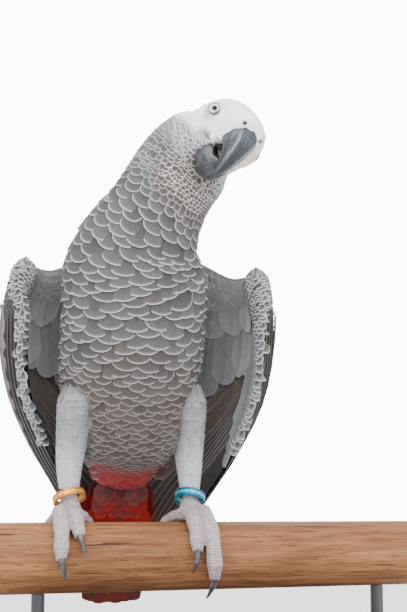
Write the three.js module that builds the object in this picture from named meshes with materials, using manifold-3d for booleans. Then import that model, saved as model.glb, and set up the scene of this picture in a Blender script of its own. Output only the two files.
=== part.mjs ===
// A life-size grey parrot standing on a short length of round wooden perch, which a flat base and
// two short rods hold up. Millimetres, +Z up, origin at the middle of the base's underside.
// The perch lies along X, and the bird on it faces -Y: +X is the bird's left.
import * as THREE from 'three';
import { mergeVertices } from 'three/addons/utils/BufferGeometryUtils.js';
import Module from 'manifold-3d';

const wasm = await Module();
wasm.setup();

// ---- Driving dimensions -------------------------------------------------------------------------
const GAP = 0.3;                    // between solids that meet

const BASE = { length: 250, depth: 160, thickness: 10, corner: 14 };
const PERCH = { length: 280, thickEnd: 42, thinEnd: 39, top: 82 };   // diameters; the top is level
const ROD = { diameter: 8, collar: 16, collarHeight: 4, apart: 210 };
const FEET_X = -50;                 // the middle of the two feet along the perch

const FOOT_APART = 74;              // between the middles of the two feet
const TORSO_TURN = -12;             // degrees: the breast and wings face a little to the bird's right
const TORSO_LEAN = 2.5;             // degrees: its right shoulder is the higher one
const TORSO_SHIFT = -1;             // the wings' middle, to the left of the feet's middle

// The head's own axes: forward along the bill, to the bird's left, and up through the crown.
const HEAD = {
  middle: new THREE.Vector3(46.1, -63.6, 224.3),
  forward: new THREE.Vector3(0.235, -0.947, -0.220).normalize(),
  left: new THREE.Vector3(0.721, 0.321, -0.613),
  scale: 1.04,
};
const EYE = { radius: 5.4, out: 16.7, forward: 2.2, up: 1.5 };

// Where the body is parted: the head a little way down the neck, and the neck at the shoulders.
const NECK_TOP = { below: 25, up: new THREE.Vector3(0.62, -0.42, 0.66) };
const NECK_FOOT = { middle: new THREE.Vector3(0, -33, 166), up: new THREE.Vector3(0.2, -0.4, 0.9) };

// How many steps along and sides round each lofted form has.
const FACETS = {
  body: [18, 18], skull: [12, 16], eye: [6, 10], billUpper: [9, 12], billLower: [6, 12],
  tongue: [4, 8], mouth: [3, 8], leg: [8, 14], foot: [5, 10], toe: [5, 8], claw: [4, 6], wing: [19, 7],
};

// The leg rings hang loose: their fronts ride up by the tilt and their inner sides down by the roll.
const RING_LEFT = { radius: 9.3, wall: 1.2, height: 5, tilt: -25, roll: 14, up: 14.4, back: 3.4 };
const RING_RIGHT = { radius: 10, wall: 1.5, height: 4, tilt: -25, roll: -13, up: 14.4, back: 3.4 };

const COLOURS = {
  grey: 0x9a9b9e, pale: 0xd9dade, leg: 0xc9cacb, red: 0xb23a2a, flight: 0x5d5e63, horn: 0x4a525c,
  foot: 0xb9aeb0, claw: 0x4b4d52, eye: 0xe9e6c8, tongue: 0x2b2626, blue: 0x1f8fa6, gold: 0xd98a1e,
  wood: 0xae7c58, stand: 0x33363a,
};

// ---- Small tools --------------------------------------------------------------------------------
const V = (x, y, z) => new THREE.Vector3(x, y, z);
const radians = THREE.MathUtils.degToRad;
const mix = THREE.MathUtils.lerp;

/** A smooth curve through rows of numbers: the row at t, from 0 at the first to 1 at the last. */
function along(rows, t) {
  const place = THREE.MathUtils.clamp(t, 0, 1) * (rows.length - 1);
  const i = Math.min(Math.floor(place), rows.length - 2);
  const f = place - i;
  const row = (k) => rows[THREE.MathUtils.clamp(k, 0, rows.length - 1)];
  return rows[0].map((_, c) => {
    const [p0, p1, p2, p3] = [row(i - 1)[c], row(i)[c], row(i + 1)[c], row(i + 2)[c]];
    const slope1 = (p2 - p0) / 2;
    const slope2 = (p3 - p1) / 2;
    return (2 * f ** 3 - 3 * f ** 2 + 1) * p1 + (f ** 3 - 2 * f ** 2 + f) * slope1
      + (3 * f ** 2 - 2 * f ** 3) * p2 + (f ** 3 - f ** 2) * slope2;
  });
}

/** The closed geometry through rings of points, each end closed by a fan round its middle. */
function loft(rings) {
  const count = rings[0].length;
  const middle = (ring) => ring.reduce((sum, p) => sum.add(p), V(0, 0, 0)).divideScalar(count);
  const points = [...rings.flat(), middle(rings[0]), middle(rings.at(-1))];
  const first = points.length - 2;
  const faces = [];
  for (let i = 0; i < rings.length; i++) {
    for (let j = 0; j < count; j++) {
      const [a, b] = [i * count + j, i * count + (j + 1) % count];
      if (i === 0) faces.push(first, b, a);
      if (i === rings.length - 1) faces.push(first + 1, a, b);
      else faces.push(a, b, b + count, a, b + count, a + count);
    }
  }
  const geometry = new THREE.BufferGeometry();
  geometry.setAttribute('position', new THREE.BufferAttribute(
    new Float32Array(points.flatMap((p) => p.toArray())), 3));
  geometry.setIndex(volumeOf(points, faces) < 0 ? faces.reverse() : faces);
  return geometry;
}

/** The signed volume that the triangles enclose, which is below zero where they face inwards. */
function volumeOf(points, faces) {
  let sum = 0;
  for (let i = 0; i < faces.length; i += 3) {
    const [a, b, c] = [points[faces[i]], points[faces[i + 1]], points[faces[i + 2]]];
    sum += a.dot(V(0, 0, 0).crossVectors(b, c)) / 6;
  }
  return sum;
}

/** A geometry as a solid that can be joined and cut. */
function solid(geometry) {
  const bare = geometry.clone();
  bare.deleteAttribute('normal');
  bare.deleteAttribute('uv');
  const merged = mergeVertices(bare, 1e-4);
  return new wasm.Manifold(new wasm.Mesh({
    numProp: 3,
    vertProperties: new Float32Array(merged.attributes.position.array),
    triVerts: new Uint32Array(merged.index.array),
  }));
}

/** A solid back as a geometry. */
function geometryOf(shape) {
  const { vertProperties, triVerts } = shape.getMesh();
  const geometry = new THREE.BufferGeometry();
  geometry.setAttribute('position', new THREE.BufferAttribute(vertProperties, 3));
  geometry.setIndex(new THREE.BufferAttribute(triVerts, 1));
  return geometry;
}

const join = (...shapes) => shapes.reduce((whole, shape) => whole.add(shape));
const cut = (shape, ...tools) => tools.reduce((whole, tool) => whole.subtract(tool), shape);

const materials = Object.fromEntries(Object.entries(COLOURS).map(([name, color]) => [
  name, new THREE.MeshStandardMaterial({
    color,
    roughness: { horn: 0.4, eye: 0.1, claw: 0.4, blue: 0.35, gold: 0.35, stand: 0.5 }[name] ?? 0.8,
    metalness: { blue: 0.6, gold: 0.6, stand: 0.4 }[name] ?? 0,
    flatShading: true,
  }),
]));

/** A named mesh of a solid or a geometry. */
function part(name, shape, material) {
  const mesh = new THREE.Mesh(shape.getMesh ? geometryOf(shape) : shape, materials[material]);
  mesh.name = name;
  return mesh;
}

/** A block larger than the bird on the far side of a plane, moved `back` along its normal. */
function halfSpace(point, normal, back = 0) {
  const size = 500;
  const box = new THREE.BoxGeometry(size, size, size);
  const direction = normal.clone().normalize();
  box.translate(0, 0, size / 2 + back);
  box.applyQuaternion(new THREE.Quaternion().setFromUnitVectors(V(0, 0, 1), direction));
  box.translate(...point.toArray());
  return solid(box);
}

// ---- Body: one lofted form from the tail's root to the neck, and the head on it ---------------------
// Each station: middle x, y, z; half width; half depth to the front and to the back; and how far
// the section has turned from the torso's axes to the head's.
const TRUNK = [
  [0, 40, 22, 17, 7, 7, 0],
  [0, 31, 38, 26, 12, 15, 0],
  [-1, 15, 54, 39, 29, 26, 0],
  [-2, 2, 78, 43, 37, 34, 0],
  [-2, -9, 103, 44, 41, 38, 0],
  [-2, -18, 128, 44, 41, 37, 0],
  [-3, -26, 150, 44, 37, 34, 0],
  [0, -35, 168, 36, 31, 29, 0.08],
  [6.5, -41, 182, 29.5, 27, 25, 0.25],
  [13.5, -45, 196.5, 28, 24, 23, 0.5],
  [22, -48.5, 208.5, 28.5, 20, 22, 0.8],
  [29, -51, 218, 26.5, 14, 21, 1],
  [36, -52, 224, 22, 8, 18, 1],
];
const TORSO_LEFT = V(1, 0, 0).applyAxisAngle(V(0, 0, 1), radians(TORSO_TURN));

/** The body's loft, each of its rings square to the line through the stations' middles. */
function bodySolid(grow = 0) {
  const [steps, sides] = FACETS.body;
  const rings = [];
  for (let i = 0; i <= steps; i++) {
    const t = i / steps;
    const [x, y, z, width, front, back, turn] = along(TRUNK, t);
    const [a, b] = [along(TRUNK, t - 0.02), along(TRUNK, t + 0.02)];
    const ahead = V(b[0] - a[0], b[1] - a[1], b[2] - a[2]).normalize();
    const left = TORSO_LEFT.clone().lerp(HEAD.left, turn);
    left.addScaledVector(ahead, -left.dot(ahead)).normalize();
    const behind = V(0, 0, 0).crossVectors(ahead, left).normalize();
    const end = (i === 0 ? ahead.clone().negate() : ahead).multiplyScalar(
      i === 0 || i === steps ? grow : 0);
    rings.push(Array.from({ length: sides }, (_, j) => {
      const angle = 2 * Math.PI * j / sides;
      const depth = Math.sin(angle) * ((Math.sin(angle) > 0 ? back : front) + grow);
      return V(x, y, z).add(end).addScaledVector(left, Math.cos(angle) * (width + grow))
        .addScaledVector(behind, depth);
    }));
  }
  return solid(loft(rings));
}

// The head, back to front: forward, middle's height, half width, half height above and below, and
// the half width that it narrows to at the jaw.
const SKULL = [
  [-27, -4, 9, 9, 8, 9],
  [-23, -3, 18, 17.5, 16, 16],
  [-13, -3, 20.8, 22, 20, 17],
  [-3, -3, 20.8, 23.2, 22, 14],
  [6, -4, 18.8, 22, 22, 9.6],
  [14, -4, 15.6, 17.8, 18, 7.8],
  [20.5, -0.5, 12, 11.4, 9.5, 6.6],
  [24.6, 2.8, 8, 5.6, 5, 5.6],
  [26.2, 3.6, 3.4, 2.6, 2.4, 3],
];
const CROWN = 2.5;                  // how square the head's sections are: 2 is an oval
HEAD.left.addScaledVector(HEAD.forward, -HEAD.left.dot(HEAD.forward)).normalize();
HEAD.up = V(0, 0, 0).crossVectors(HEAD.forward, HEAD.left).normalize();
const headFrame = new THREE.Matrix4().makeBasis(HEAD.forward, HEAD.left, HEAD.up)
  .scale(V(HEAD.scale, HEAD.scale, HEAD.scale)).setPosition(HEAD.middle);

/** The head's loft: its sections are ovals across the head, narrower at the jaw. */
function skullSolid() {
  const [steps, sides] = FACETS.skull;
  const rings = Array.from({ length: steps + 1 }, (_, i) => {
    const [forward, height, width, above, below, jaw] = along(SKULL, i / steps);
    return Array.from({ length: sides }, (_unused, j) => {
      const [c, s] = [Math.cos(2 * Math.PI * j / sides), Math.sin(2 * Math.PI * j / sides)];
      const swell = (Math.abs(c) ** CROWN + Math.abs(s) ** CROWN) ** (-1 / CROWN);
      const half = mix(width, jaw, Math.max(0, -s * swell));
      return V(forward, c * swell * half, height + s * swell * (s > 0 ? above : below));
    });
  });
  return solid(loft(rings).applyMatrix4(headFrame));
}

// ---- Bill: two horns and a tongue, in the head's middle plane --------------------------------------
// Each station of a horn: forward and up of its cutting edge, then of its outer curve; half width.
const BILL_UPPER = [
  [11.5, -8.2, 23.4, 4, 9],
  [14.6, -11.5, 26.9, -0.5, 8.6],
  [17.9, -15, 28.8, -6.2, 7.5],
  [20.6, -18.6, 29.4, -13, 6.1],
  [22.1, -22.1, 28.8, -19.7, 4.5],
  [22.9, -26, 27.3, -25.5, 3],
  [23.5, -29.8, 25.4, -29.8, 1.5],
  [23.9, -31.9, 24.3, -32.1, 0.6],
];
const BILL_LOWER = [
  [1.4, -13.9, 0.5, -26.9, 9.8],
  [6.2, -11.2, 4.8, -30.4, 9.5],
  [11.5, -13.3, 10.6, -31.9, 8.7],
  [16, -16.7, 15.8, -30.8, 7.6],
  [19.2, -19.4, 19.6, -27.4, 5.8],
  [21, -21.4, 21.7, -23.6, 2.9],
];
const HORN_WIDEST = 0.16;           // how far from the cutting edge a horn is widest, as a share
// Each station: forward, up; half width; half depth above and below.
const TONGUE = [
  [4.8, -13.5, 4.4, 1.7, 1.5],
  [9.6, -14.2, 4.2, 2, 1.7],
  [14.4, -17.3, 3.7, 2, 1.7],
  [17.1, -19.4, 1.9, 1.1, 1],
];

// The mouth's opening, cut out of the head between the two halves of the bill.
const MOUTH = [
  [5.8, -10.1, 8.2, 2.3, 2.3],
  [11.5, -11.9, 9.6, 2.7, 2.7],
  [16.3, -15.6, 10.6, 3.1, 3.1],
  [24, -21.2, 10.6, 3.3, 3.3],
];

/** A horn: its sections are eggs from the cutting edge to the outer curve, widest near the edge. */
function hornSolid(stations, [steps, sides], grow = 0) {
  const rings = Array.from({ length: steps + 1 }, (_, i) => {
    const [fromX, fromZ, toX, toZ, width] = along(stations, i / steps);
    const out = V(toX - fromX, 0, toZ - fromZ);
    const depth = out.length() + 2 * grow;
    out.normalize();
    const edge = V(fromX, 0, fromZ).addScaledVector(out, -grow);
    return Array.from({ length: sides }, (_unused, j) => {
      const angle = 2 * Math.PI * j / sides;
      const s = Math.sin(angle);
      const share = s > 0 ? mix(HORN_WIDEST, 1, s) : HORN_WIDEST * (1 + s);
      return edge.clone().addScaledVector(out, share * depth)
        .add(V(0, Math.cos(angle) * (width + grow), 0));
    });
  });
  return solid(loft(rings).applyMatrix4(headFrame));
}

/** A form bent in the head's middle plane, lofted through its stations. */
function bentSolid(stations, [steps, sides], grow = 0) {
  const rings = Array.from({ length: steps + 1 }, (_, i) => {
    const t = i / steps;
    const [forward, up, width, outer, inner] = along(stations, t);
    const [a, b] = [along(stations, t - 0.03), along(stations, t + 0.03)];
    const ahead = V(b[0] - a[0], 0, b[1] - a[1]).normalize();
    const out = V(-ahead.z, 0, ahead.x);
    return Array.from({ length: sides }, (_unused, j) => {
      const angle = 2 * Math.PI * j / sides;
      const depth = Math.sin(angle) * ((Math.sin(angle) > 0 ? outer : inner) + grow);
      return V(forward, Math.cos(angle) * (width + grow), up).addScaledVector(out, depth);
    });
  });
  return solid(loft(rings).applyMatrix4(headFrame));
}

const billUpper = (grow) => hornSolid(BILL_UPPER, FACETS.billUpper, grow);
const billLower = (grow) => hornSolid(BILL_LOWER, FACETS.billLower, grow);
const tongueSolid = (grow) => bentSolid(TONGUE, FACETS.tongue, grow);

function buildBill() {
  return [
    part('bill_upper', billUpper(), 'horn'),
    part('bill_lower', cut(billLower(), billUpper(GAP), tongueSolid(GAP)), 'horn'),
    part('tongue', cut(tongueSolid(), billUpper(GAP)), 'tongue'),
  ];
}

/** The head, neck and trunk, parted by two planes, with sockets for the eyes, bill and legs. */
function buildBody() {
  const whole = join(bodySolid(), skullSolid());
  const neckTop = HEAD.middle.clone().addScaledVector(NECK_TOP.up, -NECK_TOP.below);
  const aboveTop = (back) => halfSpace(neckTop, NECK_TOP.up, back);
  const aboveFoot = (back) => halfSpace(NECK_FOOT.middle, NECK_FOOT.up, back);
  const mouth = [billUpper(GAP), billLower(GAP), tongueSolid(GAP),
    bentSolid(MOUTH, FACETS.mouth)];
  const eyes = [1, -1].map((side) => eyeball(side, GAP));
  const legs = [1, -1].map((side) => legSolid(side, GAP));
  return [
    part('head', cut(whole.intersect(aboveTop(GAP / 2)), ...eyes, ...mouth), 'pale'),
    part('neck', cut(whole.intersect(aboveFoot(GAP / 2)), aboveTop(-GAP / 2), ...mouth), 'grey'),
    part('trunk', cut(whole, aboveFoot(-GAP / 2), ...legs), 'grey'),
  ];
}

function eyeball(side, grow = 0) {
  const [rows, columns] = FACETS.eye;
  const ball = new THREE.SphereGeometry(EYE.radius + grow, columns, rows);
  ball.translate(EYE.forward, side * EYE.out, EYE.up);
  return solid(ball.applyMatrix4(headFrame));
}

// ---- Legs, feet and claws -------------------------------------------------------------------------
// Each station of a feathered leg: out from the middle, y, z; half width and half depth.
const LEG = [
  [28, -4, 94, 10, 14],
  [31, -3, 76, 14.6, 19],
  [33.6, 0, 60, 12.4, 16],
  [36, 4, 45, 9.6, 11.5],
  [37, 5.5, 32, 8, 8.6],
  [37, 4.4, 19, 6.2, 6.4],
];

function legSolid(side, grow = 0) {
  const [steps, sides] = FACETS.leg;
  const rings = Array.from({ length: steps + 1 }, (_, i) => {
    const [out, y, z, width, depth] = along(LEG, i / steps);
    return Array.from({ length: sides }, (_unused, j) => {
      const angle = 2 * Math.PI * j / sides;
      return V(side * out + (width + grow) * Math.cos(angle), y + (depth + grow) * Math.sin(angle),
        z + (i === 0 ? grow : 0));
    });
  });
  return solid(loft(rings));
}

// Each station of the bare shank and the foot's pad: y, z and radius.
const SHANK = [[3.8, 19.6, 5], [2.8, 14.5, 5.2], [1, 10, 6.8], [0, 6, 7.8], [0, 2.6, 6.6], [0, 0.5, 4]];

/** A foot's round pad with the bare shank that stands on it. */
function footSolid(side, grow = 0) {
  const [steps, sides] = FACETS.foot;
  const rings = Array.from({ length: steps + 1 }, (_, i) => {
    const [y, z, radius] = along(SHANK, i / steps);
    return Array.from({ length: sides }, (_unused, j) => {
      const angle = 2 * Math.PI * j / sides;
      const reach = radius + grow;
      return V(side * FOOT_APART / 2 + reach * Math.cos(angle), y + reach * Math.sin(angle) * 0.9, z);
    });
  });
  return solid(loft(rings));
}

// Each toe runs round the perch from the pad: where it starts and ends along the perch, measured out
// from the foot's middle, and how far round it goes in degrees, forwards or backwards; its radius at
// the pad and at the tip; and its claw's length, how far it stands off the perch and how far it leans.
const TOES = {
  left: {
    inner_front: { out: [-1.5, -1.3], around: [8, 84], radius: [4.9, 4.2], claw: 14, lift: 1, lean: -2.5 },
    outer_front: { out: [6, 9.5], around: [8, 122], radius: [5.4, 4.6], claw: 15, lift: 4, lean: -3.5 },
    inner_back: { out: [-5, -15], around: [-4, -42], radius: [4.1, 3.3], claw: 10, lift: 0.5, lean: -3 },
    outer_back: { out: [5, 15], around: [-6, -98], radius: [4.3, 4.2], claw: 13, lift: 1, lean: 0 },
  },
  right: {
    inner_front: { out: [-2.5, -3], around: [8, 62], radius: [4.6, 3.9], claw: 13, lift: 0.5, lean: -3.5 },
    outer_front: { out: [6, 8], around: [8, 92], radius: [5.4, 4.3], claw: 15, lift: 1, lean: -4 },
    inner_back: { out: [-5, -15], around: [-4, -42], radius: [4.1, 3.3], claw: 10, lift: 0.5, lean: -3 },
    outer_back: { out: [5, 15], around: [-6, -98], radius: [4.3, 4.2], claw: 13, lift: 1, lean: 0 },
  },
};

const TOE_SWELL = 0.07;             // how much a toe swells at its joints
const TOE_TIP = 0.72;               // how far it narrows at the claw
const CLAW = { root: 2.3, tip: 0.35 };

/** The perch's radius at x, measured from the middle of the feet. */
function perchRadius(x) {
  const t = (x + FEET_X) / PERCH.length + 0.5;
  return mix(PERCH.thickEnd, PERCH.thinEnd, t) / 2;
}

/** A point round the perch: x along it, degrees forwards from its top, and height above its surface. */
function roundPerch(x, degrees, height) {
  const radius = perchRadius(x);
  const angle = radians(degrees);
  return V(x, -(radius + height) * Math.sin(angle), (radius + height) * Math.cos(angle) - radius);
}

/** A tapering round tube along points, with the radius at each. */
function tube(points, radii, sides, grow = 0) {
  const rings = points.map((point, i) => {
    const ahead = points[Math.min(i + 1, points.length - 1)].clone()
      .sub(points[Math.max(i - 1, 0)]).normalize();
    const across = V(1, 0, 0).addScaledVector(ahead, -ahead.x).normalize();
    const up = V(0, 0, 0).crossVectors(ahead, across);
    return Array.from({ length: sides }, (_, j) => {
      const angle = 2 * Math.PI * j / sides;
      return point.clone().addScaledVector(across, (radii[i] + grow) * Math.cos(angle))
        .addScaledVector(up, (radii[i] + grow) * Math.sin(angle));
    });
  });
  return solid(loft(rings));
}

function toeSolid(side, toe, grow = 0) {
  const [steps, sides] = FACETS.toe;
  const points = [];
  const radii = [];
  for (let i = 0; i <= steps; i++) {
    const t = i / steps;
    const swell = 1 + TOE_SWELL * Math.cos(t * steps * Math.PI);
    const radius = mix(...toe.radius, t) * (i === steps ? TOE_TIP : 1) * swell;
    const x = side * (FOOT_APART / 2 + mix(...toe.out, t));
    points.push(roundPerch(x, mix(...toe.around, t), mix(...toe.radius, t) * 1.07 + GAP));
    radii.push(radius);
  }
  return tube(points, radii, sides, grow);
}

/** A curved, pointed claw that carries on from its toe's tip and bends towards the perch. */
function clawSolid(side, toe, grow = 0) {
  const [steps, sides] = FACETS.claw;
  const turn = Math.sign(toe.around[1]);
  const start = side * (FOOT_APART / 2 + toe.out[1]);
  const sweep = THREE.MathUtils.radToDeg(toe.claw / (perchRadius(start) + 4));
  const points = [];
  const radii = [];
  for (let i = 0; i <= steps; i++) {
    const t = i / steps;
    const degrees = toe.around[1] + turn * (t * sweep - 4);
    const height = toe.radius[1] + 0.8 + toe.lift * t - (toe.radius[1] - 1) * t * t * 0.6;
    points.push(roundPerch(start + side * toe.lean * t, degrees, height + GAP));
    radii.push(mix(CLAW.root, CLAW.tip, t ** 1.3));
  }
  return tube(points, radii, sides, grow);
}

function buildFoot(side) {
  const name = side > 0 ? 'left' : 'right';
  const meshes = [];
  const ahead = [footSolid(side, GAP)];
  for (const [which, toe] of Object.entries(TOES[name])) {
    meshes.push(part(`toe_${name}_${which}`,
      cut(toeSolid(side, toe), clawSolid(side, toe, GAP), ...ahead), 'foot'));
    meshes.push(part(`claw_${name}_${which}`, clawSolid(side, toe), 'claw'));
    ahead.push(toeSolid(side, toe, GAP));
  }
  meshes.push(part(`foot_${name}`, footSolid(side), 'foot'));
  return meshes;
}

/** A plain band, loose round the shank and tipped to one side. */
function ring(name, side, size, material) {
  const { radius, wall, height } = size;
  const profile = [[radius - wall, -0.5], [radius, -0.5], [radius, 0.5], [radius - wall, 0.5],
    [radius - wall, -0.5]];
  const band = new THREE.LatheGeometry(profile.map(([r, h]) => new THREE.Vector2(r, h * height)), 20);
  band.rotateX(Math.PI / 2);
  band.rotateX(radians(size.tilt));
  band.rotateY(radians(size.roll));
  band.translate(side * FOOT_APART / 2, size.back, size.up);
  return part(name, band, material);
}

// ---- Wings ----------------------------------------------------------------------------------------
// The left wing's two edges, from the top down to the tip, measured in the torso's own axes.
const LEADING_EDGE = [
  [66, -28, 149], [76.5, -26, 130], [79.5, -19, 102], [76, -7, 72],
  [66, 12, 45], [57, 33, 26], [44, 55, 6], [31, 72, -15], [19, 86, -37],
];
const INNER_EDGE = [
  [37, -4, 149], [34, 22, 133], [29, 36, 110], [25, 45, 88],
  [17, 52, 64], [9, 59, 40], [6, 67, 15], [8, 77, -10], [12.5, 87, -36],
];
const WING_OUT = V(0.72, 0.69, 0.05).normalize();       // away from the body, about square to the wing
const WING_CAMBER = { top: 13, tip: 2 };            // how far its middle bows away from the body
const TOP_DIP = { depth: 6, reach: 0.14 };          // the top edge sags between wrist and shoulder
const WING_THICK = { blade: 0.8, arm: 6.2, armReach: 0.62, shoulder: 5, shoulderReach: 0.16 };
const PRIMARY_TIPS = { from: 0.64, count: 10, depth: 0.12 };
// Where the wing is parted, as places down it and across it: below the arm, and between the hand's
// long feathers and the forearm's.
const ARM_LINE = [[0.33, 0], [0.2, 1]];
const HAND_LINE = [[0.27, 0.36], [0.66, 1]];

/** The wing's own surface: down from the top edge to the tip, and across from the leading edge. */
function wingPoint(down, across) {
  const front = V(...along(LEADING_EDGE, down));
  const back = V(...along(INNER_EDGE, down));
  const belly = Math.sin(Math.PI * across);
  const top = Math.max(0, 1 - down / TOP_DIP.reach);
  return front.lerp(back, across)
    .addScaledVector(WING_OUT, belly * mix(WING_CAMBER.top, WING_CAMBER.tip, down))
    .add(V(0, 0, -TOP_DIP.depth * belly * top ** 2));
}

/** Half the wing's thickness, greatest along the arm and hand inside the leading edge. */
function wingHalfThickness(down, across) {
  const { blade, arm, armReach, shoulder, shoulderReach } = WING_THICK;
  const armHere = arm * Math.max(0, 1 - down / armReach) ** 0.8;
  const bulge = Math.exp(-(((across - 0.1) / 0.3) ** 2));
  const shoulderHere = shoulder * Math.exp(-((down / shoulderReach) ** 2)) * across;
  const edge = Math.sqrt(Math.min(1, (across + 0.012) / 0.12));
  const crest = Math.sqrt(Math.min(1, (down + 0.002) / 0.05));
  return (blade + (armHere * bulge + shoulderHere) * crest) * mix(0.35, 1, edge);
}

/** How far across the wing goes: all the way, or in steps where the long feathers' tips end. */
function wingSpan(down) {
  const t = Math.max(0, (down - PRIMARY_TIPS.from) / (1 - PRIMARY_TIPS.from));
  const step = (t * PRIMARY_TIPS.count) % 1;
  return t > 0 ? 1 - PRIMARY_TIPS.depth * (1 - step) * (1 - t) : 1;
}

/** The whole left wing as one closed form, two faces of the wing's surface. */
function wingWhole() {
  const [rowCount, columns] = FACETS.wing;
  const rings = Array.from({ length: rowCount + 1 }, (_, k) => {
    const down = (k / rowCount) ** 1.15;
    const here = (t, face) => {
      const across = t * wingSpan(down);
      const step = 0.01;
      const alongDown = wingPoint(down + step, across).sub(wingPoint(down - step, across));
      const alongAcross = wingPoint(down, across + step).sub(wingPoint(down, across - step));
      const normal = V(0, 0, 0).crossVectors(alongAcross, alongDown).normalize();
      if (normal.dot(WING_OUT) < 0) normal.negate();
      return wingPoint(down, across).addScaledVector(normal, face * wingHalfThickness(down, across));
    };
    const outer = Array.from({ length: columns + 1 }, (_unused, i) => here((i / columns) ** 1.3, 1));
    const inner = Array.from({ length: columns + 1 }, (_unused, i) => here((1 - i / columns) ** 1.3, -1));
    return [...outer, ...inner];
  });
  return solid(loft(rings));
}

/** The half space beyond a line drawn on the wing, square to its surface. */
function beyondLine([[down0, across0], [down1, across1]], back) {
  const from = wingPoint(down0, across0);
  const line = wingPoint(down1, across1).sub(from);
  const normal = V(0, 0, 0).crossVectors(line, WING_OUT);
  if (normal.z > 0) normal.negate();
  return halfSpace(from, normal, back);
}

function buildWing(side, flesh) {
  const name = side > 0 ? 'left' : 'right';
  const whole = wingWhole();
  const arm = cut(whole, beyondLine(ARM_LINE, -GAP / 2));
  const feathers = whole.intersect(beyondLine(ARM_LINE, GAP / 2));
  const primaries = feathers.intersect(beyondLine(HAND_LINE, GAP / 2));
  const secondaries = cut(feathers, beyondLine(HAND_LINE, -GAP / 2));
  return Object.entries({ arm, secondaries, primaries }).map(([piece, shape]) => {
    const placed = (side > 0 ? shape : shape.mirror([1, 0, 0]))
      .rotate([0, TORSO_LEAN, 0]).rotate([0, 0, TORSO_TURN]).translate([TORSO_SHIFT, 0, 0]);
    return part(`wing_${name}_${piece}`, cut(placed, flesh), piece === 'arm' ? 'grey' : 'flight');
  });
}

// ---- Tail: a short square fan, its feathers' tips stepped a little --------------------------------
const TAIL = {
  root: V(0, 40, 27),
  tip: V(0, 80, -55),
  halfWidths: [[20], [22.5], [21], [19]],
  thickness: 2.4,
  arch: 3.5,                        // how far its sides bend forward of its middle
  feathers: 4,
  round: 0.05,                      // how much shorter the outer feathers are
  notch: 0.045,                     // how deep the steps between the tips are
};

function tailSolid() {
  const { root, tip } = TAIL;
  const ahead = tip.clone().sub(root).normalize();
  const behind = V(0, 0, 0).crossVectors(V(1, 0, 0), ahead).normalize();
  if (behind.y < 0) behind.negate();
  const length = root.distanceTo(tip);
  const columns = TAIL.feathers * 4;
  const rows = 3;
  const end = (across) => {
    const feather = Math.abs(Math.sin((across + 1) / 2 * TAIL.feathers * Math.PI));
    return 1 - TAIL.round * across ** 2 - TAIL.notch * (1 - feather ** 0.5);
  };
  const rings = Array.from({ length: columns + 1 }, (_, i) => {
    const across = 2 * i / columns - 1;
    const at = (t, face) => root.clone().addScaledVector(ahead, length * end(across) * t)
      .add(V(across * along(TAIL.halfWidths, t)[0], 0, 0))
      .addScaledVector(behind, face * TAIL.thickness / 2 * mix(1.6, 0.6, t) - TAIL.arch * across ** 2);
    const front = Array.from({ length: rows + 1 }, (_, j) => at(j / rows, -1));
    const back = Array.from({ length: rows + 1 }, (_, j) => at(1 - j / rows, 1));
    return [...front, ...back];
  });
  return solid(loft(rings));
}

// ---- Perch and stand --------------------------------------------------------------------------------
/** The perch as a round tapering pole whose top edge is level, in the bird's own frame. */
function perchSolid(grow = 0) {
  const sides = 24;
  const bevel = 2;
  const half = PERCH.length / 2;
  const rings = [[-half, -bevel], [-half + bevel, 0], [half - bevel, 0], [half, -bevel]]
    .map(([x, less]) => Array.from({ length: sides }, (_, j) => {
      const angle = 2 * Math.PI * j / sides;
      const radius = perchRadius(x - FEET_X);
      const reach = radius + less + grow;
      return V(x - FEET_X, reach * Math.sin(angle), reach * Math.cos(angle) - radius);
    }));
  return solid(loft(rings));
}

function buildStand() {
  const { length, depth, thickness, corner } = BASE;
  const outline = new THREE.Shape();
  const [x, y] = [length / 2, depth / 2];
  outline.moveTo(-x + corner, -y);
  outline.lineTo(x - corner, -y);
  outline.absarc(x - corner, -y + corner, corner, -Math.PI / 2, 0);
  outline.absarc(x - corner, y - corner, corner, 0, Math.PI / 2);
  outline.absarc(-x + corner, y - corner, corner, Math.PI / 2, Math.PI);
  outline.absarc(-x + corner, -y + corner, corner, Math.PI, Math.PI * 1.5);
  const slab = new THREE.ExtrudeGeometry(outline, {
    depth: thickness, bevelEnabled: false, curveSegments: 4,
  });
  const wood = perchSolid(GAP).translate([FEET_X, 0, PERCH.top]);
  const rods = [1, -1].map((side) => {
    const rodX = side * ROD.apart / 2;
    const top = PERCH.top - perchRadius(rodX - FEET_X);
    const bottom = thickness + GAP;
    const profile = [[0, bottom], [ROD.collar / 2, bottom], [ROD.collar / 2, bottom + ROD.collarHeight],
      [ROD.diameter / 2, bottom + ROD.collarHeight + 1], [ROD.diameter / 2, top], [0, top]];
    const rod = new THREE.LatheGeometry(profile.map(([r, h]) => new THREE.Vector2(r, h)), 14);
    rod.rotateX(Math.PI / 2);
    rod.translate(rodX, 0, 0);
    return part(`stand_rod_${side > 0 ? 'left' : 'right'}`, cut(solid(rod), wood), 'stand');
  });
  return [part('stand_base', slab, 'stand'), ...rods];
}

// ---- The whole ------------------------------------------------------------------------------------
const parrot = new THREE.Group();
const bird = new THREE.Group();
bird.position.set(FEET_X, 0, PERCH.top);
parrot.add(bird, ...buildStand());

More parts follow.
